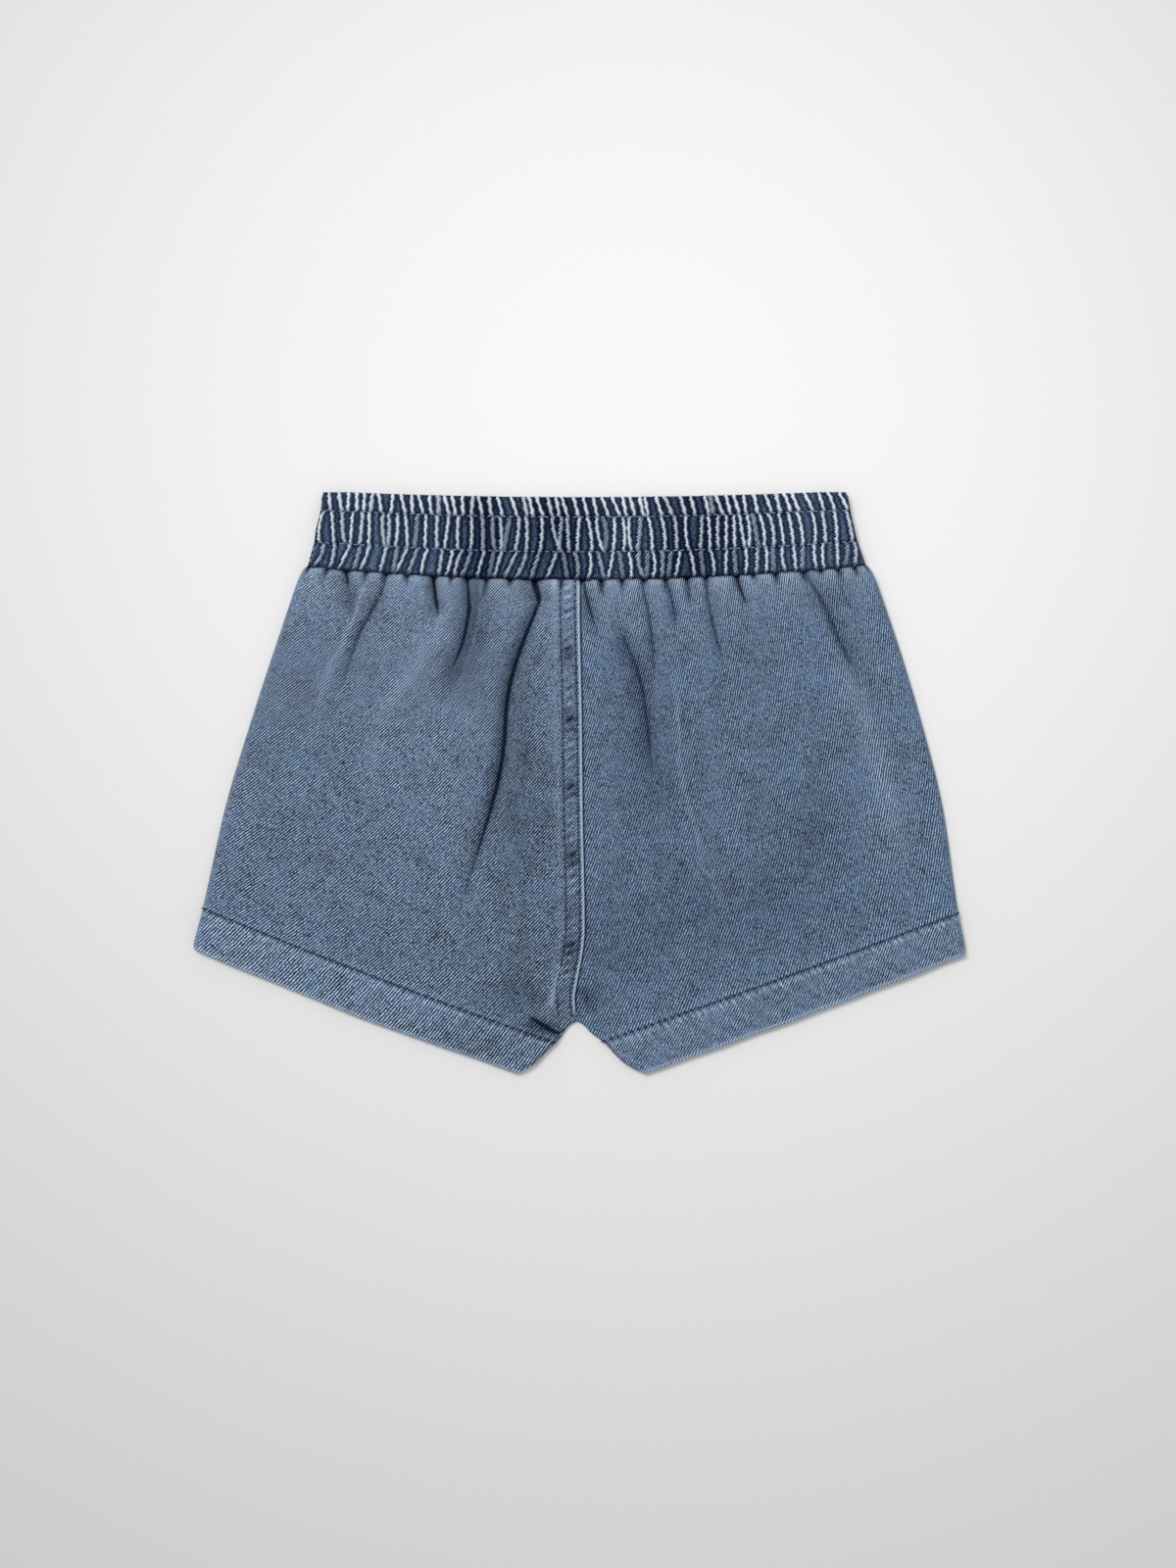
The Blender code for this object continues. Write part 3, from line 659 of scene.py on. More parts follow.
def front_panel(name, half, material):
    """A front panel, face down on the table, with the back's creases mirrored and pressed flat."""
    plan = half.lay_out(np.linspace(0.0, HEM_EDGE_ROW, 130), spread(4.0, 0.5, 1.7, 4.0, 0.4))
    plan = plan.tucked(half.side, ((1.5, 1.4),))
    x, y = plan.x, plan.y
    folds, crease, crest = fold_shape(-x, y)
    notch = gather_notches(-x, plan.below_band)
    stitch_line = bell(plan.below_stitches, 0.9)
    seam = bell(plan.away - 0.2, 0.5)
    lift = 0.12 + 0.25 * np.clip(unevenness(x, y, 30.0, SEED + 1), 0.0, 1.0)
    lift = lift + 0.3 * (stitch_line + notch + seam) + np.clip(-0.25 * folds, 0.0, 0.75)
    level = look_up(EDGE_LEVEL, plan.row)
    z = level + (lift - level) * round_over(plan.from_side, SIDE_ROLL) * closed_edge(plan)
    worn = 0.5 * bell((1.0 - plan.row) * PANEL_LENGTH, 1.1) + 0.3 * bell(plan.from_side, 0.8)
    worn = worn + 0.8 * crest + 0.35 * bell(plan.away - 1.3, 0.6)
    # Painted shade along its stitch line, creases, notches and seam; paler on its edges, on crests and on
    # the painted highlight of the creases' lips.
    deep = 0.4 * stitch_line + 0.6 * crease + 0.7 * notch + 0.8 * seam
    return hemmed_sheet(
        name, x, y, z, *grain(-x, y, -half.side), np.maximum(1.85, z[-1] + 0.1), (2, 6), material, flip=True,
        worn=np.clip(worn, 0.0, 1.0), deep=np.clip(deep, 0.0, 1.0),
    )


# ---- the waistband ----

RUCHE_HEIGHT = 1.75
RUCHE_PINCH = 1.1
BAND_FULLNESS = 1.25
BAND_HEIGHT = 35.0
BAND_WIDTH = 226.0
BAND_BASE = 5.3
BAND_UNDER = 3.1
BAND_FRONT_TOP = 2.8
BAND_TURN_IN = 8.0
BAND_SEAM_LEVEL = 2.95
BAND_END_ROLL = 2.2

# Ruches of the three tiers, from left to right: x at the tier's top and at its foot, bow to the right
# halfway down, and height from 0 (flat) to 1 (a full pinched cord).
UPPER_RUCHES = (
    (-109.3, -109.0, 0.0, 0.5), (-105.2, -104.6, 0.0, 1.0), (-101.2, -99.9, 0.0, 0.8),
    (-96.9, -97.3, 0.0, 1.0), (-93.6, -93.6, 0.1, 0.9), (-90.3, -90.6, 0.0, 1.0), (-86.9, -87.9, 0.0, 0.7),
    (-84.6, -83.4, 0.2, 1.0), (-78.4, -79.2, 0.0, 1.0), (-75.3, -73.3, 0.1, 1.0), (-70.7, -70.2, 0.0, 0.9),
    (-68.0, -65.9, 0.2, 1.0), (-63.3, -62.4, 0.0, 1.0), (-59.5, -59.3, 0.0, 0.6), (-57.3, -55.0, 0.2, 0.9),
    (-53.9, -52.2, 0.1, 0.9), (-49.5, -49.1, 0.0, 0.9), (-45.0, -45.7, 0.0, 0.8), (-42.9, -41.2, 0.2, 0.9),
    (-38.4, -37.3, 0.0, 0.8), (-34.9, -32.6, 0.1, 1.0), (-29.2, -26.4, 0.0, 0.9), (-24.0, -22.3, 0.0, 0.7),
    (-21.6, -19.7, 0.0, 0.9), (-18.6, -15.6, 0.0, 0.9), (-13.9, -11.8, 0.0, 0.8), (-10.4, -8.9, 0.1, 0.9),
    (-8.0, -5.3, 0.0, 0.9), (-3.1, -0.8, 0.0, 0.9), (0.9, 3.0, 0.1, 1.0), (5.1, 7.1, 0.0, 1.0),
    (8.8, 11.8, 0.0, 1.0), (12.9, 16.5, 0.1, 1.0), (17.5, 19.2, 0.0, 0.9), (20.6, 22.8, 0.0, 0.8),
    (24.5, 26.4, 0.0, 0.9), (26.8, 28.3, 0.0, 1.0), (31.3, 34.1, 0.0, 0.9), (34.9, 38.5, 0.1, 0.7),
    (41.6, 44.0, 0.0, 0.8), (45.9, 48.0, 0.0, 0.9), (51.7, 53.6, 0.1, 0.9), (54.0, 55.6, 0.0, 0.5),
    (56.3, 59.5, 0.1, 0.9), (60.7, 62.7, 0.0, 0.9), (63.9, 66.4, 0.0, 0.9), (67.9, 69.2, 0.1, 1.0),
    (72.4, 74.1, 0.0, 0.9), (77.1, 80.0, 0.0, 1.0), (81.6, 83.5, 0.0, 0.8), (85.0, 87.9, 0.1, 0.9),
    (88.2, 91.4, 0.0, 0.9), (93.2, 97.1, 0.2, 0.9), (99.3, 101.9, 0.0, 1.0), (103.4, 106.4, 0.1, 1.0),
    (107.8, 111.7, 0.2, 0.9),
)
MIDDLE_RUCHES = (
    (-107.4, -109.2, -0.9, 1.0), (-104.1, -103.2, 0.1, 1.0), (-99.5, -98.6, -0.5, 0.6),
    (-95.3, -96.3, 0.1, 1.0), (-91.1, -92.5, 0.2, 0.7), (-88.5, -88.7, 0.3, 0.9),
    (-82.6, -81.8, -0.6, 0.6), (-80.3, -80.7, 0.5, 0.6), (-76.7, -77.5, 0.6, 0.8),
    (-73.4, -72.5, 0.3, 0.8), (-68.3, -69.7, 0.3, 0.4), (-64.7, -65.1, 0.1, 0.9),
    (-59.8, -60.0, -0.3, 0.7), (-55.0, -57.0, 0.1, 0.8), (-51.0, -51.3, -0.3, 0.8),
    (-45.7, -46.0, 0.4, 0.8), (-41.2, -41.0, 0.3, 0.6), (-36.6, -35.9, -0.5, 0.5),
    (-33.8, -33.3, 0.4, 0.7), (-29.6, -32.2, 0.0, 0.4), (-25.8, -27.4, 0.5, 0.7), (-22.7, -22.8, 0.4, 0.7),
    (-16.2, -17.0, 0.5, 0.8), (-11.8, -8.0, -1.0, 0.7), (-7.9, -9.2, 0.0, 0.6), (-5.6, -4.9, 0.0, 0.7),
    (-0.4, -1.3, -0.2, 0.8), (2.8, 4.7, 0.6, 0.8), (6.7, 9.5, -0.8, 0.8), (9.2, 9.7, 1.3, 0.3),
    (14.0, 13.5, 0.5, 0.9), (17.4, 17.9, 0.8, 0.8), (20.4, 21.3, -0.6, 0.8), (25.1, 23.7, 0.2, 0.5),
    (28.2, 29.9, 0.6, 0.9), (33.7, 35.2, 0.7, 0.8), (39.3, 40.2, 0.3, 0.7), (44.0, 45.2, -0.6, 0.9),
    (50.7, 50.0, 0.2, 0.7), (53.3, 54.0, 0.3, 0.9), (57.6, 57.7, -0.4, 0.7), (60.9, 60.9, 0.0, 0.9),
    (64.1, 64.5, 0.0, 0.8), (66.5, 68.8, -0.2, 0.8), (69.4, 70.3, 0.8, 0.8), (72.0, 74.4, 0.0, 0.4),
    (74.6, 76.8, 0.9, 0.9), (78.5, 80.7, 0.9, 0.7), (82.8, 85.0, 0.2, 1.0), (86.7, 89.0, 0.3, 0.8),
    (90.6, 93.0, 0.5, 0.9), (96.5, 97.9, 0.9, 1.0), (100.9, 102.4, 0.4, 0.7), (106.0, 107.1, 0.4, 0.8),
    (111.0, 113.8, 0.3, 0.7),
)
LOWER_RUCHES = (
    (-107.7, -112.2, 1.4, 0.5), (-102.9, -105.0, 0.4, 0.6), (-96.3, -101.5, 0.2, 0.8),
    (-92.0, -95.0, 0.0, 0.4), (-88.3, -92.5, 0.4, 0.8), (-81.0, -84.0, 0.0, 0.7), (-76.6, -78.6, 0.0, 0.4),
    (-72.4, -77.6, 0.1, 0.7), (-68.2, -72.4, 0.0, 0.5), (-63.7, -66.5, -0.7, 0.9),
    (-57.8, -59.4, 0.0, 0.6), (-53.4, -56.4, 0.3, 0.8), (-49.4, -52.7, -0.7, 0.7),
    (-45.8, -50.0, 0.4, 0.5), (-40.0, -43.2, -0.3, 0.8), (-36.3, -38.5, 0.0, 0.3),
    (-32.8, -36.3, -0.1, 0.7), (-26.6, -32.1, 0.0, 0.6), (-22.8, -27.5, 0.8, 0.6),
    (-17.2, -20.9, 0.0, 0.5), (-10.0, -14.6, 0.3, 0.7), (-7.4, -5.4, 0.0, 0.4), (-2.7, -1.7, 1.1, 0.5),
    (3.6, 2.9, 1.1, 0.8), (7.3, 10.0, 0.0, 0.5), (13.7, 11.3, 0.2, 1.0), (16.3, 17.8, 0.0, 0.3),
    (20.0, 21.0, 0.7, 0.9), (24.4, 27.1, -1.3, 0.5), (28.0, 27.6, 0.0, 0.3), (30.0, 30.0, 1.1, 0.9),
    (34.4, 34.0, 0.0, 0.5), (37.8, 36.6, 0.0, 0.4), (41.6, 39.5, 0.2, 0.9), (45.7, 47.6, 0.4, 0.8),
    (50.1, 51.6, 0.0, 0.4), (54.1, 55.7, 0.7, 0.8), (61.2, 60.9, -0.3, 0.8), (64.2, 65.0, 0.0, 0.4),
    (68.9, 68.8, 0.6, 0.9), (73.9, 73.5, 0.1, 0.6), (77.6, 77.5, 0.3, 0.9), (80.2, 80.9, 0.0, 0.3),
    (84.4, 86.0, -0.8, 0.7), (89.0, 90.0, 0.1, 0.8), (93.0, 92.8, -0.1, 0.4), (97.7, 98.9, -0.5, 0.8),
    (101.4, 102.0, -0.5, 0.9), (107.2, 107.5, 0.1, 0.8), (111.2, 109.9, 1.0, 0.3),
    (114.6, 114.5, 0.6, 0.6),
)
# The tiers: share of the band's height at the top and at the foot, width of its ruches, its ruches.
TIERS = (
    (0.0, BAND_ROWS[0], 1.10, UPPER_RUCHES),
    (BAND_ROWS[0], BAND_ROWS[1], 0.87, MIDDLE_RUCHES),
    (BAND_ROWS[1], 1.0, 0.82, LOWER_RUCHES),
)

# Where the band is paler or darker: x, half width, how much.
BAND_PATCHES = (
    (-42.0, 10.0, -0.30),
    (-10.0, 15.0, -0.28),
    (47.0, 18.0, -0.26),
    (18.0, 8.0, 0.04),
    (-95.0, 14.0, 0.08),
    (95.0, 14.0, 0.08),
)

# Painted shade beside a ruche's crest, over the darker dye of its valley: distance from the crest's line,
# how dark.
RUCHE_HOLLOW = ((0.0, 0.0), (0.8, 0.15), (1.15, 0.98), (1.7, 0.80), (2.8, 0.25))


def ruche_field(x, down_band):
    """Height of the ruches, how far their crests are paled by abrasion, and the painted shade beside them
    and across the pinched rows.
    """
    height = np.zeros_like(x)
    worn = np.zeros_like(x)
    deep = np.zeros_like(x)
    for top, foot, width, ruches in TIERS:
        rows = np.flatnonzero((down_band[:, 0] >= top - 1e-6) & (down_band[:, 0] <= foot))
        px = x[rows]
        down = (down_band[rows] - top) / (foot - top)
        length = (foot - top) * BAND_HEIGHT
        run = down * length
        pinch = np.ones_like(px)
        if top > 0.0:
            pinch = pinch * ease(-0.3, RUCHE_PINCH, run)
        if foot < 1.0:
            pinch = pinch * ease(-0.3, RUCHE_PINCH, length - run)
        total = np.zeros_like(px)
        mark_strength = np.zeros_like(px)
        nearest = np.full_like(px, np.inf)
        for upper, lower, bow, tall in ruches:
            wobble = 0.16 * np.sin(run * 1.9 + upper) + 0.05 * np.sin(run * 4.3 + lower)
            path = upper + (lower - upper) * down + 4.0 * bow * down * (1.0 - down) + wobble
            offset = np.abs(px - path)
            half = (0.60 + 0.60 * (1.0 - tall)) * (1.0 + 0.18 * np.sin(run * 1.1 + 2.0 * upper)) * width
            total = np.maximum(total, tall * bell(offset, 1.25 * half))
            mark_strength = np.maximum(mark_strength, min(1.0, 1.15 * tall ** 1.3) * np.exp(-(offset / (0.98 * half)) ** 2.8))
            nearest = np.minimum(nearest, offset)
        height[rows] = total * (0.15 + 0.85 * pinch)
        worn[rows] = mark_strength * (0.35 + 0.65 * pinch)
        # Painted shade beside the crests and across the pinched rows at the stitches.
        deep[rows] = np.maximum(look_up(RUCHE_HOLLOW, nearest), 0.8 * (1.0 - pinch))
    return height, worn, deep


def band_plan(across, down):
    """Points of the band at their shares of its width and height."""
    shares, left_ends, right_ends = columns_of(BAND_ENDS)
    left = np.interp(down, shares, left_ends)
    right = np.interp(down, shares, right_ends)
    x = left + across * (right - left)
    return x, band_top(x) + down * (band_foot(x) - band_top(x))


def band_stitch_dip(down):
    """How far the two stitch rows draw the band in, 0 to 1."""
    return sum(bell((down - row) * BAND_HEIGHT, 0.75) for row in BAND_ROWS)


def band_turn(x, y, z, z_end, reach, angles):
    """Adds the band's turned top edge above its first row: round the fold, and down inside."""
    turned = turned_rows(x[0], y[0], z[0], z_end, (0.0, 1.0), reach, angles)
    turned.append((x[0], y[0] - BAND_TURN_IN, np.full_like(x[0], z_end)))
    turned.reverse()
    return [np.vstack([*rows, grid]) for grid, rows in zip((x, y, z), zip(*turned))]


def close_ends(z):
    """Rounds the band's ends over, down or up to where its halves meet."""
    share = np.linspace(0.0, 1.0, z.shape[1])
    from_end = np.minimum(share, share[::-1])[None] * BAND_WIDTH
    return BAND_SEAM_LEVEL + (z - BAND_SEAM_LEVEL) * round_over(from_end, BAND_END_ROLL)


def waistband_back(material):
    """The ruched casing: three tiers between two stitch rows, turned over at its top edge."""
    rows = np.concatenate([np.linspace(0.02, 0.985, 72), [0.995, 1.0]])
    across, down = np.meshgrid(np.linspace(0.0, 1.0, 1000), rows)
    x, y = band_plan(across, down)
    height, crest, hollow_shade = ruche_field(x, down)
    from_stitches = np.min(np.abs(down[..., None] - np.array(BAND_ROWS)), axis=-1) * BAND_HEIGHT
    belly = 0.5 * (1.0 - np.exp(-from_stitches / 2.2))
    slack = 0.18 * unevenness(x, y, 16.0, SEED + 3)
    dip = band_stitch_dip(down)
    z = BAND_BASE + belly + slack + RUCHE_HEIGHT * height - 0.35 * dip
    z = z - 0.9 * (1.0 - ease(0.0, 0.10, down)) - 1.3 * ease(0.962, 1.0, down)

    angles = (25, 50, 75, 105, 130, 155, 180)
    foot_x, foot_y, foot_z = x[-1], y[-1], z[-1]
    x, y, z = band_turn(x, y, z, BAND_UNDER, 0.55 + 0.25 * height[0], angles)
    x = np.vstack([x, foot_x, foot_x])
    y = np.vstack([y, foot_y - 0.25, foot_y + 0.2])
    z = close_ends(np.vstack([z, np.maximum(foot_z - 0.7, 4.4), np.full_like(foot_z, 3.9)]))
    crest, hollow_shade, dip = [run_on(values, above=len(angles) + 1, below=2) for values in (crest, hollow_shade, dip)]

    # Painted shade along the band's foot, where it turns down into the gathers, in the dips of its stitch
    # rows and, full, on the two rows that turn under it; its crests are paled less at the foot.
    at_foot = bell(np.maximum(0.0, y - band_foot(x)), 1.7)
    deep = np.clip(hollow_shade + 0.25 * dip, 0.0, 1.0)
    deep[-2:] = 1.0
    deep = np.maximum(deep, 0.95 * at_foot)
    tone = sum(amount * bell(x - place, half_width) for place, half_width, amount in BAND_PATCHES)
    return sheet(
        "waistband_back_cloth", x, y, z, x * BAND_FULLNESS * MM, (y + 0.8 * (z - BAND_BASE)) * MM, material,
        worn=crest * (1.0 - 0.8 * at_foot) * (1.0 + 0.6 * tone),
        deep=np.clip(deep - 0.6 * tone, 0.0, 1.0), tone=tone,
    )


def waistband_front(material):
    """The casing's front half, face down: softly ruched and pressed flat by the table."""
    across, down = np.meshgrid(np.linspace(0.0, 1.0, 520), np.linspace(0.02, 1.0, 36))
    x, y = band_plan(across, down)
    height, crest, _ = ruche_field(-x, down)
    z = 0.05 + 0.9 * np.clip(1.0 - height, 0.0, 1.0) + 0.3 * band_stitch_dip(down)
    angles = (30, 60, 90, 120, 150, 180)
    x, y, z = band_turn(x, y, z, BAND_FRONT_TOP, 0.6, angles)
    crest = run_on(crest, above=len(angles) + 1)
    # Painted shade between the ruches, with their crests paler.
    return sheet(
        "waistband_front_cloth", x, y, close_ends(z), x * BAND_FULLNESS * MM, y * MM, material, flip=True,
        worn=crest, deep=0.5 * (1.0 - crest),
    )


# ---- materials ----

# The diagonal lines of 3/1 denim of this weight lie about 1.0 mm apart; a bead of the warp is as long.
TWILL_PITCH = 0.99
TWILL_BEAD = 0.95


def linear(hex_colour):
    """An sRGB hex colour as linear RGBA."""
    values = [int(hex_colour[i:i + 2], 16) / 255.0 for i in (1, 3, 5)]
    return (*[c / 12.92 if c <= 0.04045 else ((c + 0.055) / 1.055) ** 2.4 for c in values], 1.0)


def add(tree, kind, links=None, **settings):
    """Adds a node: settings are its properties or input values, links go into its inputs."""
    node = tree.nodes.new(kind)
    for key, value in settings.items():
        if key.startswith("in_"):
            name = key[3:]
            node.inputs[int(name) if name.isdigit() else name.replace("_", " ")].default_value = value
        else:
            setattr(node, key, value)
    for socket, source in (links or {}).items():
        tree.links.new(source, node.inputs[socket])
    return node


def washed_denim(name, navy, middle, pale, wear_and_highlight_colour, hollow_shade, twill_angle, flatness):
    """Washed indigo denim, 3/1 right-hand twill of about 8 ounces: blue warp over white weft.

    The eye sees fine diagonal lines broken by the weft, paler where abrasion has taken the dye off the
    raised cloth and where a highlight is painted, darker where shade is painted into creases, recesses and
    under edges and where folds have held more dye, and a dry surface with no gloss.
    """
    material = bpy.data.materials.new(name)
    material.use_nodes = True
    tree = material.node_tree
    tree.nodes.clear()
    angle = math.radians(twill_angle)
    cloth = add(tree, "ShaderNodeUVMap", uv_map="Cloth").outputs[0]

    def painted(label):
        return add(tree, "ShaderNodeAttribute", attribute_name=label).outputs["Fac"]

    def maths(operation, *values, clamp=False):
        node = add(tree, "ShaderNodeMath", operation=operation, use_clamp=clamp)
        for socket, value in zip(node.inputs, values):
            if isinstance(value, float):
                socket.default_value = value
            else:
                tree.links.new(value, socket)
        return node.outputs[0]

    def scaled(value, times, plus, clamp=False):
        return maths("MULTIPLY_ADD", value, times, plus, clamp=clamp)

    def way(across, up):
        direction = (across / MM, up / MM, 0.0)
        node = add(tree, "ShaderNodeVectorMath", {0: cloth}, operation="DOT_PRODUCT", in_1=direction)
        return node.outputs["Value"]

    def cloud(size, detail, rough):
        node = add(
            tree, "ShaderNodeTexNoise", {"Vector": cloth},
            in_Scale=1.0 / (size * MM), in_Detail=detail, in_Roughness=rough,
        )
        return node.outputs["Fac"]

    def blend(factor, first, second):
        node = add(tree, "ShaderNodeMix", {"Factor": factor}, data_type="RGBA", in_7=linear(second))
        if isinstance(first, str):
            node.inputs[6].default_value = linear(first)
        else:
            tree.links.new(first, node.inputs[6])
        return node.outputs[2]

    worn = painted("worn")
    across = way(math.sin(angle), -math.cos(angle))
    running = way(math.cos(angle), math.sin(angle))

    # Twill lines that wander a little, each broken into beads where the weft goes over.
    wander = maths("ADD", scaled(cloud(7.0, 2.0, 0.5), 0.9, -0.45), scaled(cloud(1.4, 2.0, 0.5), 0.7, -0.35))
    phase = maths("ADD", maths("DIVIDE", across, TWILL_PITCH), wander)
    stripe = add(
        tree, "ShaderNodeMapRange", {"Value": maths("SINE", maths("MULTIPLY", phase, math.tau))},
        interpolation_type="SMOOTHSTEP", in_From_Min=-0.30, in_From_Max=0.35,
    ).outputs[0]
    line_number = maths("FLOOR", maths("ADD", phase, 0.25))
    bead_place = add(
        tree, "ShaderNodeCombineXYZ",
        {0: maths("MULTIPLY", line_number, 7.31), 1: maths("DIVIDE", running, TWILL_BEAD)},
    ).outputs[0]
    beads = add(
        tree, "ShaderNodeTexNoise", {"Vector": bead_place}, in_Scale=1.0, in_Detail=2.0, in_Roughness=0.6,
    ).outputs["Fac"]
    broken = maths("MULTIPLY", stripe, scaled(beads, 3.2, -0.85, clamp=True), clamp=True)
    twill = blend(broken, navy, pale)

    # Hazy places where the lines are felted together, then slow clouds of faded dye.
    haze = cloud(15.0, 3.0, 0.6)
    blurred = maths("ADD", scaled(haze, 1.6, -0.76), scaled(cloud(1.2, 3.0, 0.6), 1.5, -0.75))
    blurred = maths("ADD", maths("MAXIMUM", blurred, 0.0), painted("felted"))
    clouds = maths("ADD", scaled(haze, 0.85, 0.47), scaled(cloud(4.5, 2.0, 0.5), 0.44, -0.22))
    faded = add(
        tree, "ShaderNodeHueSaturation",
        {
            "Color": blend(maths("MINIMUM", blurred, 0.42), twill, middle),
            "Value": maths("ADD", clouds, painted("tone")),
        },
    ).outputs[0]
    # Painted shade, with the dye that folds have held: the colour darkens towards the shade colour.
    shaded = blend(painted("deep"), faded, hollow_shade)

    # Abrasion, and the painted highlights carried with it, pale the stripes first, and the whole cloth on
    # the hardest crests.
    solid = maths("MULTIPLY", scaled(worn, 3.0, -0.9, clamp=True), flatness)
    spared = maths("MULTIPLY", maths("SUBTRACT", 1.0, stripe), maths("SUBTRACT", 1.0, solid))
    paling_share = maths("MULTIPLY", worn, maths("SUBTRACT", 1.0, spared), clamp=True)
    ribs = add(
        tree, "ShaderNodeBump", {"Height": stripe}, in_Strength=0.35, in_Distance=0.25 * MM,
    ).outputs[0]
    shader = add(
        tree, "ShaderNodeBsdfPrincipled", {"Base Color": blend(paling_share, shaded, wear_and_highlight_colour), "Normal": ribs},
        in_Roughness=0.9, in_Metallic=0.0, in_IOR=1.45, in_Specular_IOR_Level=0.04,
        in_Sheen_Weight=0.006, in_Sheen_Roughness=0.5,
    )
    add(tree, "ShaderNodeOutputMaterial", {"Surface": shader.outputs[0]})
    return material


def sewing_thread(name, dark, light):
    """Core-spun polyester sewing thread, indigo dyed: a soft sheen along the twist."""
    material = bpy.data.materials.new(name)
    material.use_nodes = True
    tree = material.node_tree
    shader = tree.nodes["Principled BSDF"]
    place = add(tree, "ShaderNodeTexCoord").outputs["Object"]
    twist = add(tree, "ShaderNodeTexNoise", {"Vector": place}, in_Scale=2500.0).outputs["Fac"]
    tint = add(
        tree, "ShaderNodeMix", {"Factor": twist}, data_type="RGBA", in_6=linear(dark), in_7=linear(light),
    )
    tree.links.new(tint.outputs[2], shader.inputs["Base Color"])
    shader.inputs["Roughness"].default_value = 0.65
    shader.inputs["Specular IOR Level"].default_value = 0.3
    return material


# ---- sewing ----

def stitching(name, thread, length, radius):
    """Geometry nodes that lay one stitch of a thread after the other along a line."""
    tree = bpy.data.node_groups.new(name, "GeometryNodeTree")
    tree.interface.new_socket("Line", in_out="INPUT", socket_type="NodeSocketGeometry")
    tree.interface.new_socket("Stitches", in_out="OUTPUT", socket_type="NodeSocketGeometry")
    line = add(tree, "NodeGroupInput").outputs[0]
    spots = add(
        tree, "GeometryNodeCurveToPoints", {"Curve": line}, mode="LENGTH", in_Length=STITCH_PITCH * MM,
    ).outputs
    ball = add(tree, "GeometryNodeMeshUVSphere", in_Segments=6, in_Rings=5, in_Radius=1.0)
    laid = add(
        tree, "GeometryNodeInstanceOnPoints",
        {"Points": spots["Points"], "Instance": ball.outputs["Mesh"], "Rotation": spots["Rotation"]},
        in_Scale=(radius * MM, radius * MM, 0.5 * length * MM),
    )
    real = add(tree, "GeometryNodeRealizeInstances", {0: laid.outputs[0]})
    coloured = add(tree, "GeometryNodeSetMaterial", {0: real.outputs[0]}, in_Material=thread)
    add(tree, "NodeGroupOutput", {0: coloured.outputs[0]})
    return tree


def sew(name, lines, stitches):
    """Sews along lines of points and returns the stitches as one plain mesh."""
    curve = bpy.data.curves.new(name + "_line", "CURVE")
    curve.dimensions = "3D"
    for line in lines:
        spline = curve.splines.new("POLY")
        spline.points.add(len(line) - 1)
        for point, place in zip(spline.points, line):
            point.co = (*[c * MM for c in place], 1.0)
    guide = bpy.data.objects.new(name + "_line", curve)
    bpy.context.scene.collection.objects.link(guide)
    guide.modifiers.new("stitches", "NODES").node_group = stitches
    bpy.context.view_layer.update()
    depsgraph = bpy.context.evaluated_depsgraph_get()
    mesh = bpy.data.meshes.new_from_object(guide.evaluated_get(depsgraph))
    mesh.name = name
    bpy.data.objects.remove(guide, do_unlink=True)
    bpy.data.curves.remove(curve)
    for polygon in mesh.polygons:
        polygon.use_smooth = True
    sewn = bpy.data.objects.new(name, mesh)
    bpy.context.scene.collection.objects.link(sewn)
    return sewn


def skin_height(piece, from_below=False):
    """A function that gives the height of a sheet's outer skin at a point."""
    tree = BVHTree.FromObject(piece, bpy.context.evaluated_depsgraph_get())
    start, way = (-0.05, 1.0) if from_below else (0.05, -1.0)

    def height(x, y):
        hit = tree.ray_cast((x * MM, y * MM, start), (0.0, 0.0, way))[0]
        return None if hit is None else hit.z / MM

    return height


def drape_line(x, y, height, above):
    """Lays a line on a sheet and smooths it, so that the thread bridges the small dips."""
    levels = [height(a, b) for a, b in zip(x, y)]
    points = [(a, b, level) for a, b, level in zip(x, y, levels) if level is not None]
    padded = np.pad([level for _, _, level in points], 2, mode="edge")
    smoothed = np.convolve(padded, np.ones(5) / 5.0, mode="valid") + above
    return [(a, b, level) for (a, b, _), level in zip(points, smoothed)]


def hem_line(half, height, start, above):
    """The stitch line of a hem, from a share of its width to just short of the side fold."""
    plan = half.lay_out(np.array([HEM_ROW]), lambda width: np.linspace(start, 1.0, 260) * (width - 0.6))
    return drape_line(plan.x[0], plan.y[0], height, above)


def seam_line(half, distance, height, above):
    """A stitch line of the centre seam, at a distance from the panel's edge."""
    rows = np.linspace(0.004, CROTCH_ROW - 0.012, 320)
    plan = half.lay_out(rows, lambda width: np.full((len(width), 1), distance))
    return drape_line(plan.x[:, 0], plan.y[:, 0], height, above)


def band_lines(height, above):
    """Both stitch lines of the waistband."""
    across = np.linspace(0.012, 0.988, 900)
    plans = [band_plan(across, np.full_like(across, row)) for row in BAND_ROWS]
    return [drape_line(x, y, height, above) for x, y in plans]


# ---- making the shorts ----

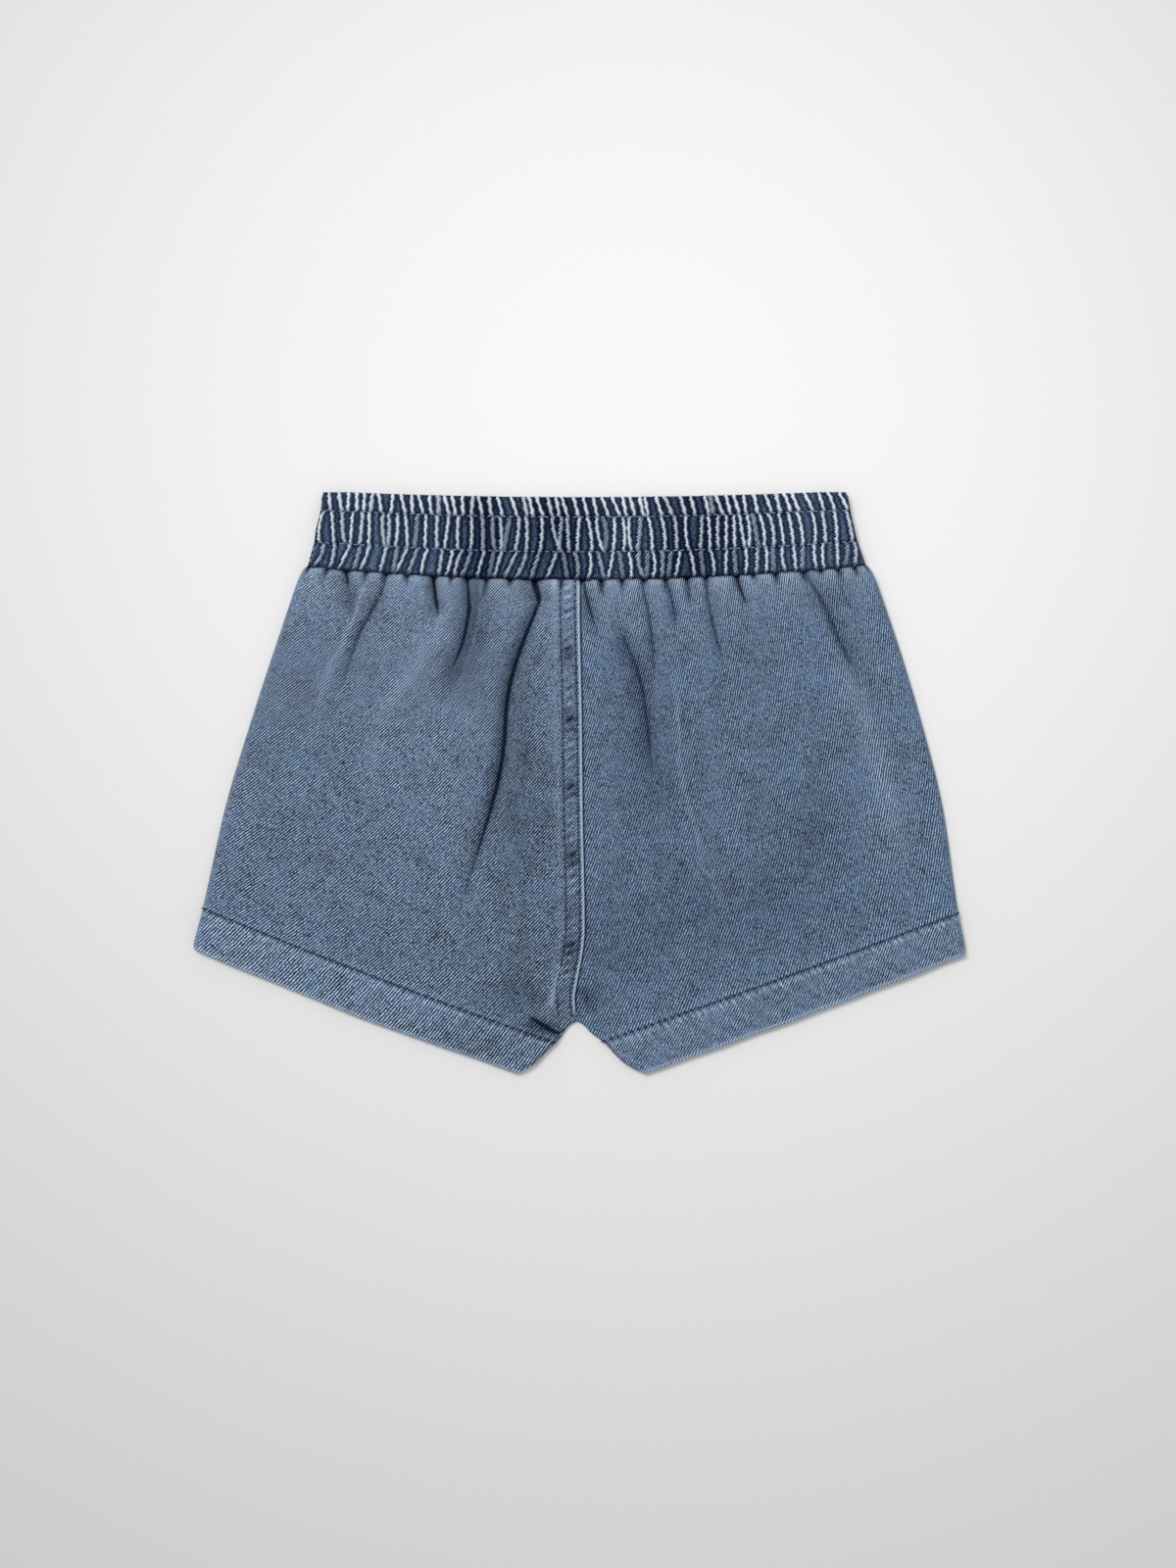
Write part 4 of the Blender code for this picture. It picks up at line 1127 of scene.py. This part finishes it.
def main():
    """Cuts the panels and the waistband, sews them, hangs them and their stitches on the root body and hides
    the solids that they stand in for.
    """
    left = Half(-1.0, INSEAM_LEFT, SIDE_LEFT, hem_bow=1.7, hem_wear=0.05, hem_tone=0.16, felted=0.0)
    right = Half(1.0, INSEAM_RIGHT, SIDE_RIGHT, hem_bow=0.8, hem_wear=0.12, hem_tone=0.0, felted=0.15)
    body = washed_denim(
        "washed indigo twill denim", navy="#0F2441", middle="#3E5B82", pale="#AFC6DF",
        wear_and_highlight_colour="#BDD2E8", hollow_shade="#030D22", twill_angle=60.0, flatness=0.55,
    )
    band = washed_denim(
        "ruched indigo twill denim", navy="#04142E", middle="#28466C", pale="#90AED0",
        wear_and_highlight_colour="#E6EFF9", hollow_shade="#03102A", twill_angle=48.0, flatness=0.74,
    )
    navy_thread = sewing_thread("indigo sewing thread", "#12224A", "#20356A")
    pale_thread = sewing_thread("faded indigo sewing thread", "#93A8CC", "#B4C4DE")
    body_sewing = stitching("stitches of the panels", navy_thread, length=2.2, radius=0.36)
    band_sewing = stitching("stitches of the waistband", pale_thread, length=2.0, radius=0.15)

    back_left = back_panel("back_left_cloth", left, body)
    back_right = back_panel("back_right_cloth", right, body)
    front_left = front_panel("front_left_cloth", left, body)
    front_right = front_panel("front_right_cloth", right, body)
    band_back = waistband_back(band)
    band_front = waistband_front(band)

    on_left = skin_height(back_left)
    on_right = skin_height(back_right)
    hem_left = sew("hem_stitches_left", [hem_line(left, on_left, 0.006, 0.05)], body_sewing)
    hem_right = sew("hem_stitches_right", [hem_line(right, on_right, 0.006, 0.05)], body_sewing)
    seam_lines = [seam_line(left, distance, on_left, 0.05) for distance in (LAP_STITCH, LAP_WIDTH)]
    seam = sew("centre_seam_stitches", seam_lines, body_sewing)
    band_stitches = sew("waistband_stitches", band_lines(skin_height(band_back), 0.12), band_sewing)

    under_left, under_right, under_band = [
        skin_height(piece, from_below=True) for piece in (front_left, front_right, band_front)
    ]
    front_hem_left = sew("front_hem_stitches_left", [hem_line(left, under_left, 0.0, 0.1)], body_sewing)
    front_hem_right = sew("front_hem_stitches_right", [hem_line(right, under_right, 0.0, 0.1)], body_sewing)
    front_band = sew("front_waistband_stitches", band_lines(under_band, 0.1), band_sewing)

    pieces = {
        "back_left": (back_left, [hem_left, seam], "body_denim"),
        "back_right": (back_right, [hem_right], "body_denim"),
        "front_left": (front_left, [front_hem_left], "body_denim"),
        "front_right": (front_right, [front_hem_right], "body_denim"),
        "waistband_back": (band_back, [band_stitches], "waistband_denim"),
        "waistband_front": (band_front, [front_band], "waistband_denim"),
    }
    for node, (piece, sewing, slot) in pieces.items():
        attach(piece, "root")
        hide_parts(node)
        for stitches in sewing:
            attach(stitches, "root")


# ---- the table, the lamps and the camera ----

def round_lamp(name, place, aim, cone, radius, power):
    """A round diffused lamp with a soft-edged cone, hung at a place and turned to a point (metres)."""
    light = bpy.data.lights.new(name, "SPOT")
    light.spot_size = math.radians(cone)
    light.spot_blend = 1.0
    light.shadow_soft_size = radius
    light.energy = power
    lamp = bpy.data.objects.new(name, light)
    lamp.location = place
    lamp.rotation_euler = (Vector(aim) - Vector(place)).to_track_quat("-Z", "Y").to_euler()
    bpy.context.scene.collection.objects.link(lamp)


def pale_table(half):
    """A flat table top of matt white paper: even, dry and very faintly warm."""
    paper = bpy.data.materials.new("matt white paper")
    paper.use_nodes = True
    shader = paper.node_tree.nodes["Principled BSDF"]
    shader.inputs["Base Color"].default_value = linear("#E9E8E8")
    shader.inputs["Roughness"].default_value = 0.95
    shader.inputs["Specular IOR Level"].default_value = 0.1
    mesh = bpy.data.meshes.new("table")
    corners = [(-half, -half, 0.0), (half, -half, 0.0), (half, half, 0.0), (-half, half, 0.0)]
    mesh.from_pydata(corners, [], [(0, 1, 2, 3)])
    mesh.materials.append(paper)
    table = bpy.data.objects.new("table", mesh)
    bpy.context.scene.collection.objects.link(table)


def studio():
    """A pale table in an evenly pale room, lit by two round soft lamps, and the camera straight above."""
    scene = bpy.context.scene
    pale_table(3.0)
    room = bpy.data.worlds.new("room")
    scene.world = room
    room.use_nodes = True
    background = room.node_tree.nodes["Background"]
    background.inputs["Color"].default_value = (1.0, 1.0, 1.0, 1.0)
    background.inputs["Strength"].default_value = 0.55

    round_lamp("table lamp", (-0.90, 1.00, 2.20), (-0.028, 0.097, 0.0), cone=28.1, radius=0.5, power=189.0)
    round_lamp("backdrop lamp", (0.02, 0.55, 1.40), (0.099, 0.195, 0.0), cone=25.5, radius=0.3, power=30.2)

    camera = bpy.data.cameras.new("camera")
    camera.lens = 85.0
    camera.sensor_width = 36.0
    eye = bpy.data.objects.new("camera", camera)
    eye.location = (0.0031, -0.0004, 1.554)
    scene.collection.objects.link(eye)
    scene.camera = eye
    scene.view_settings.view_transform = "Standard"


studio()
main()
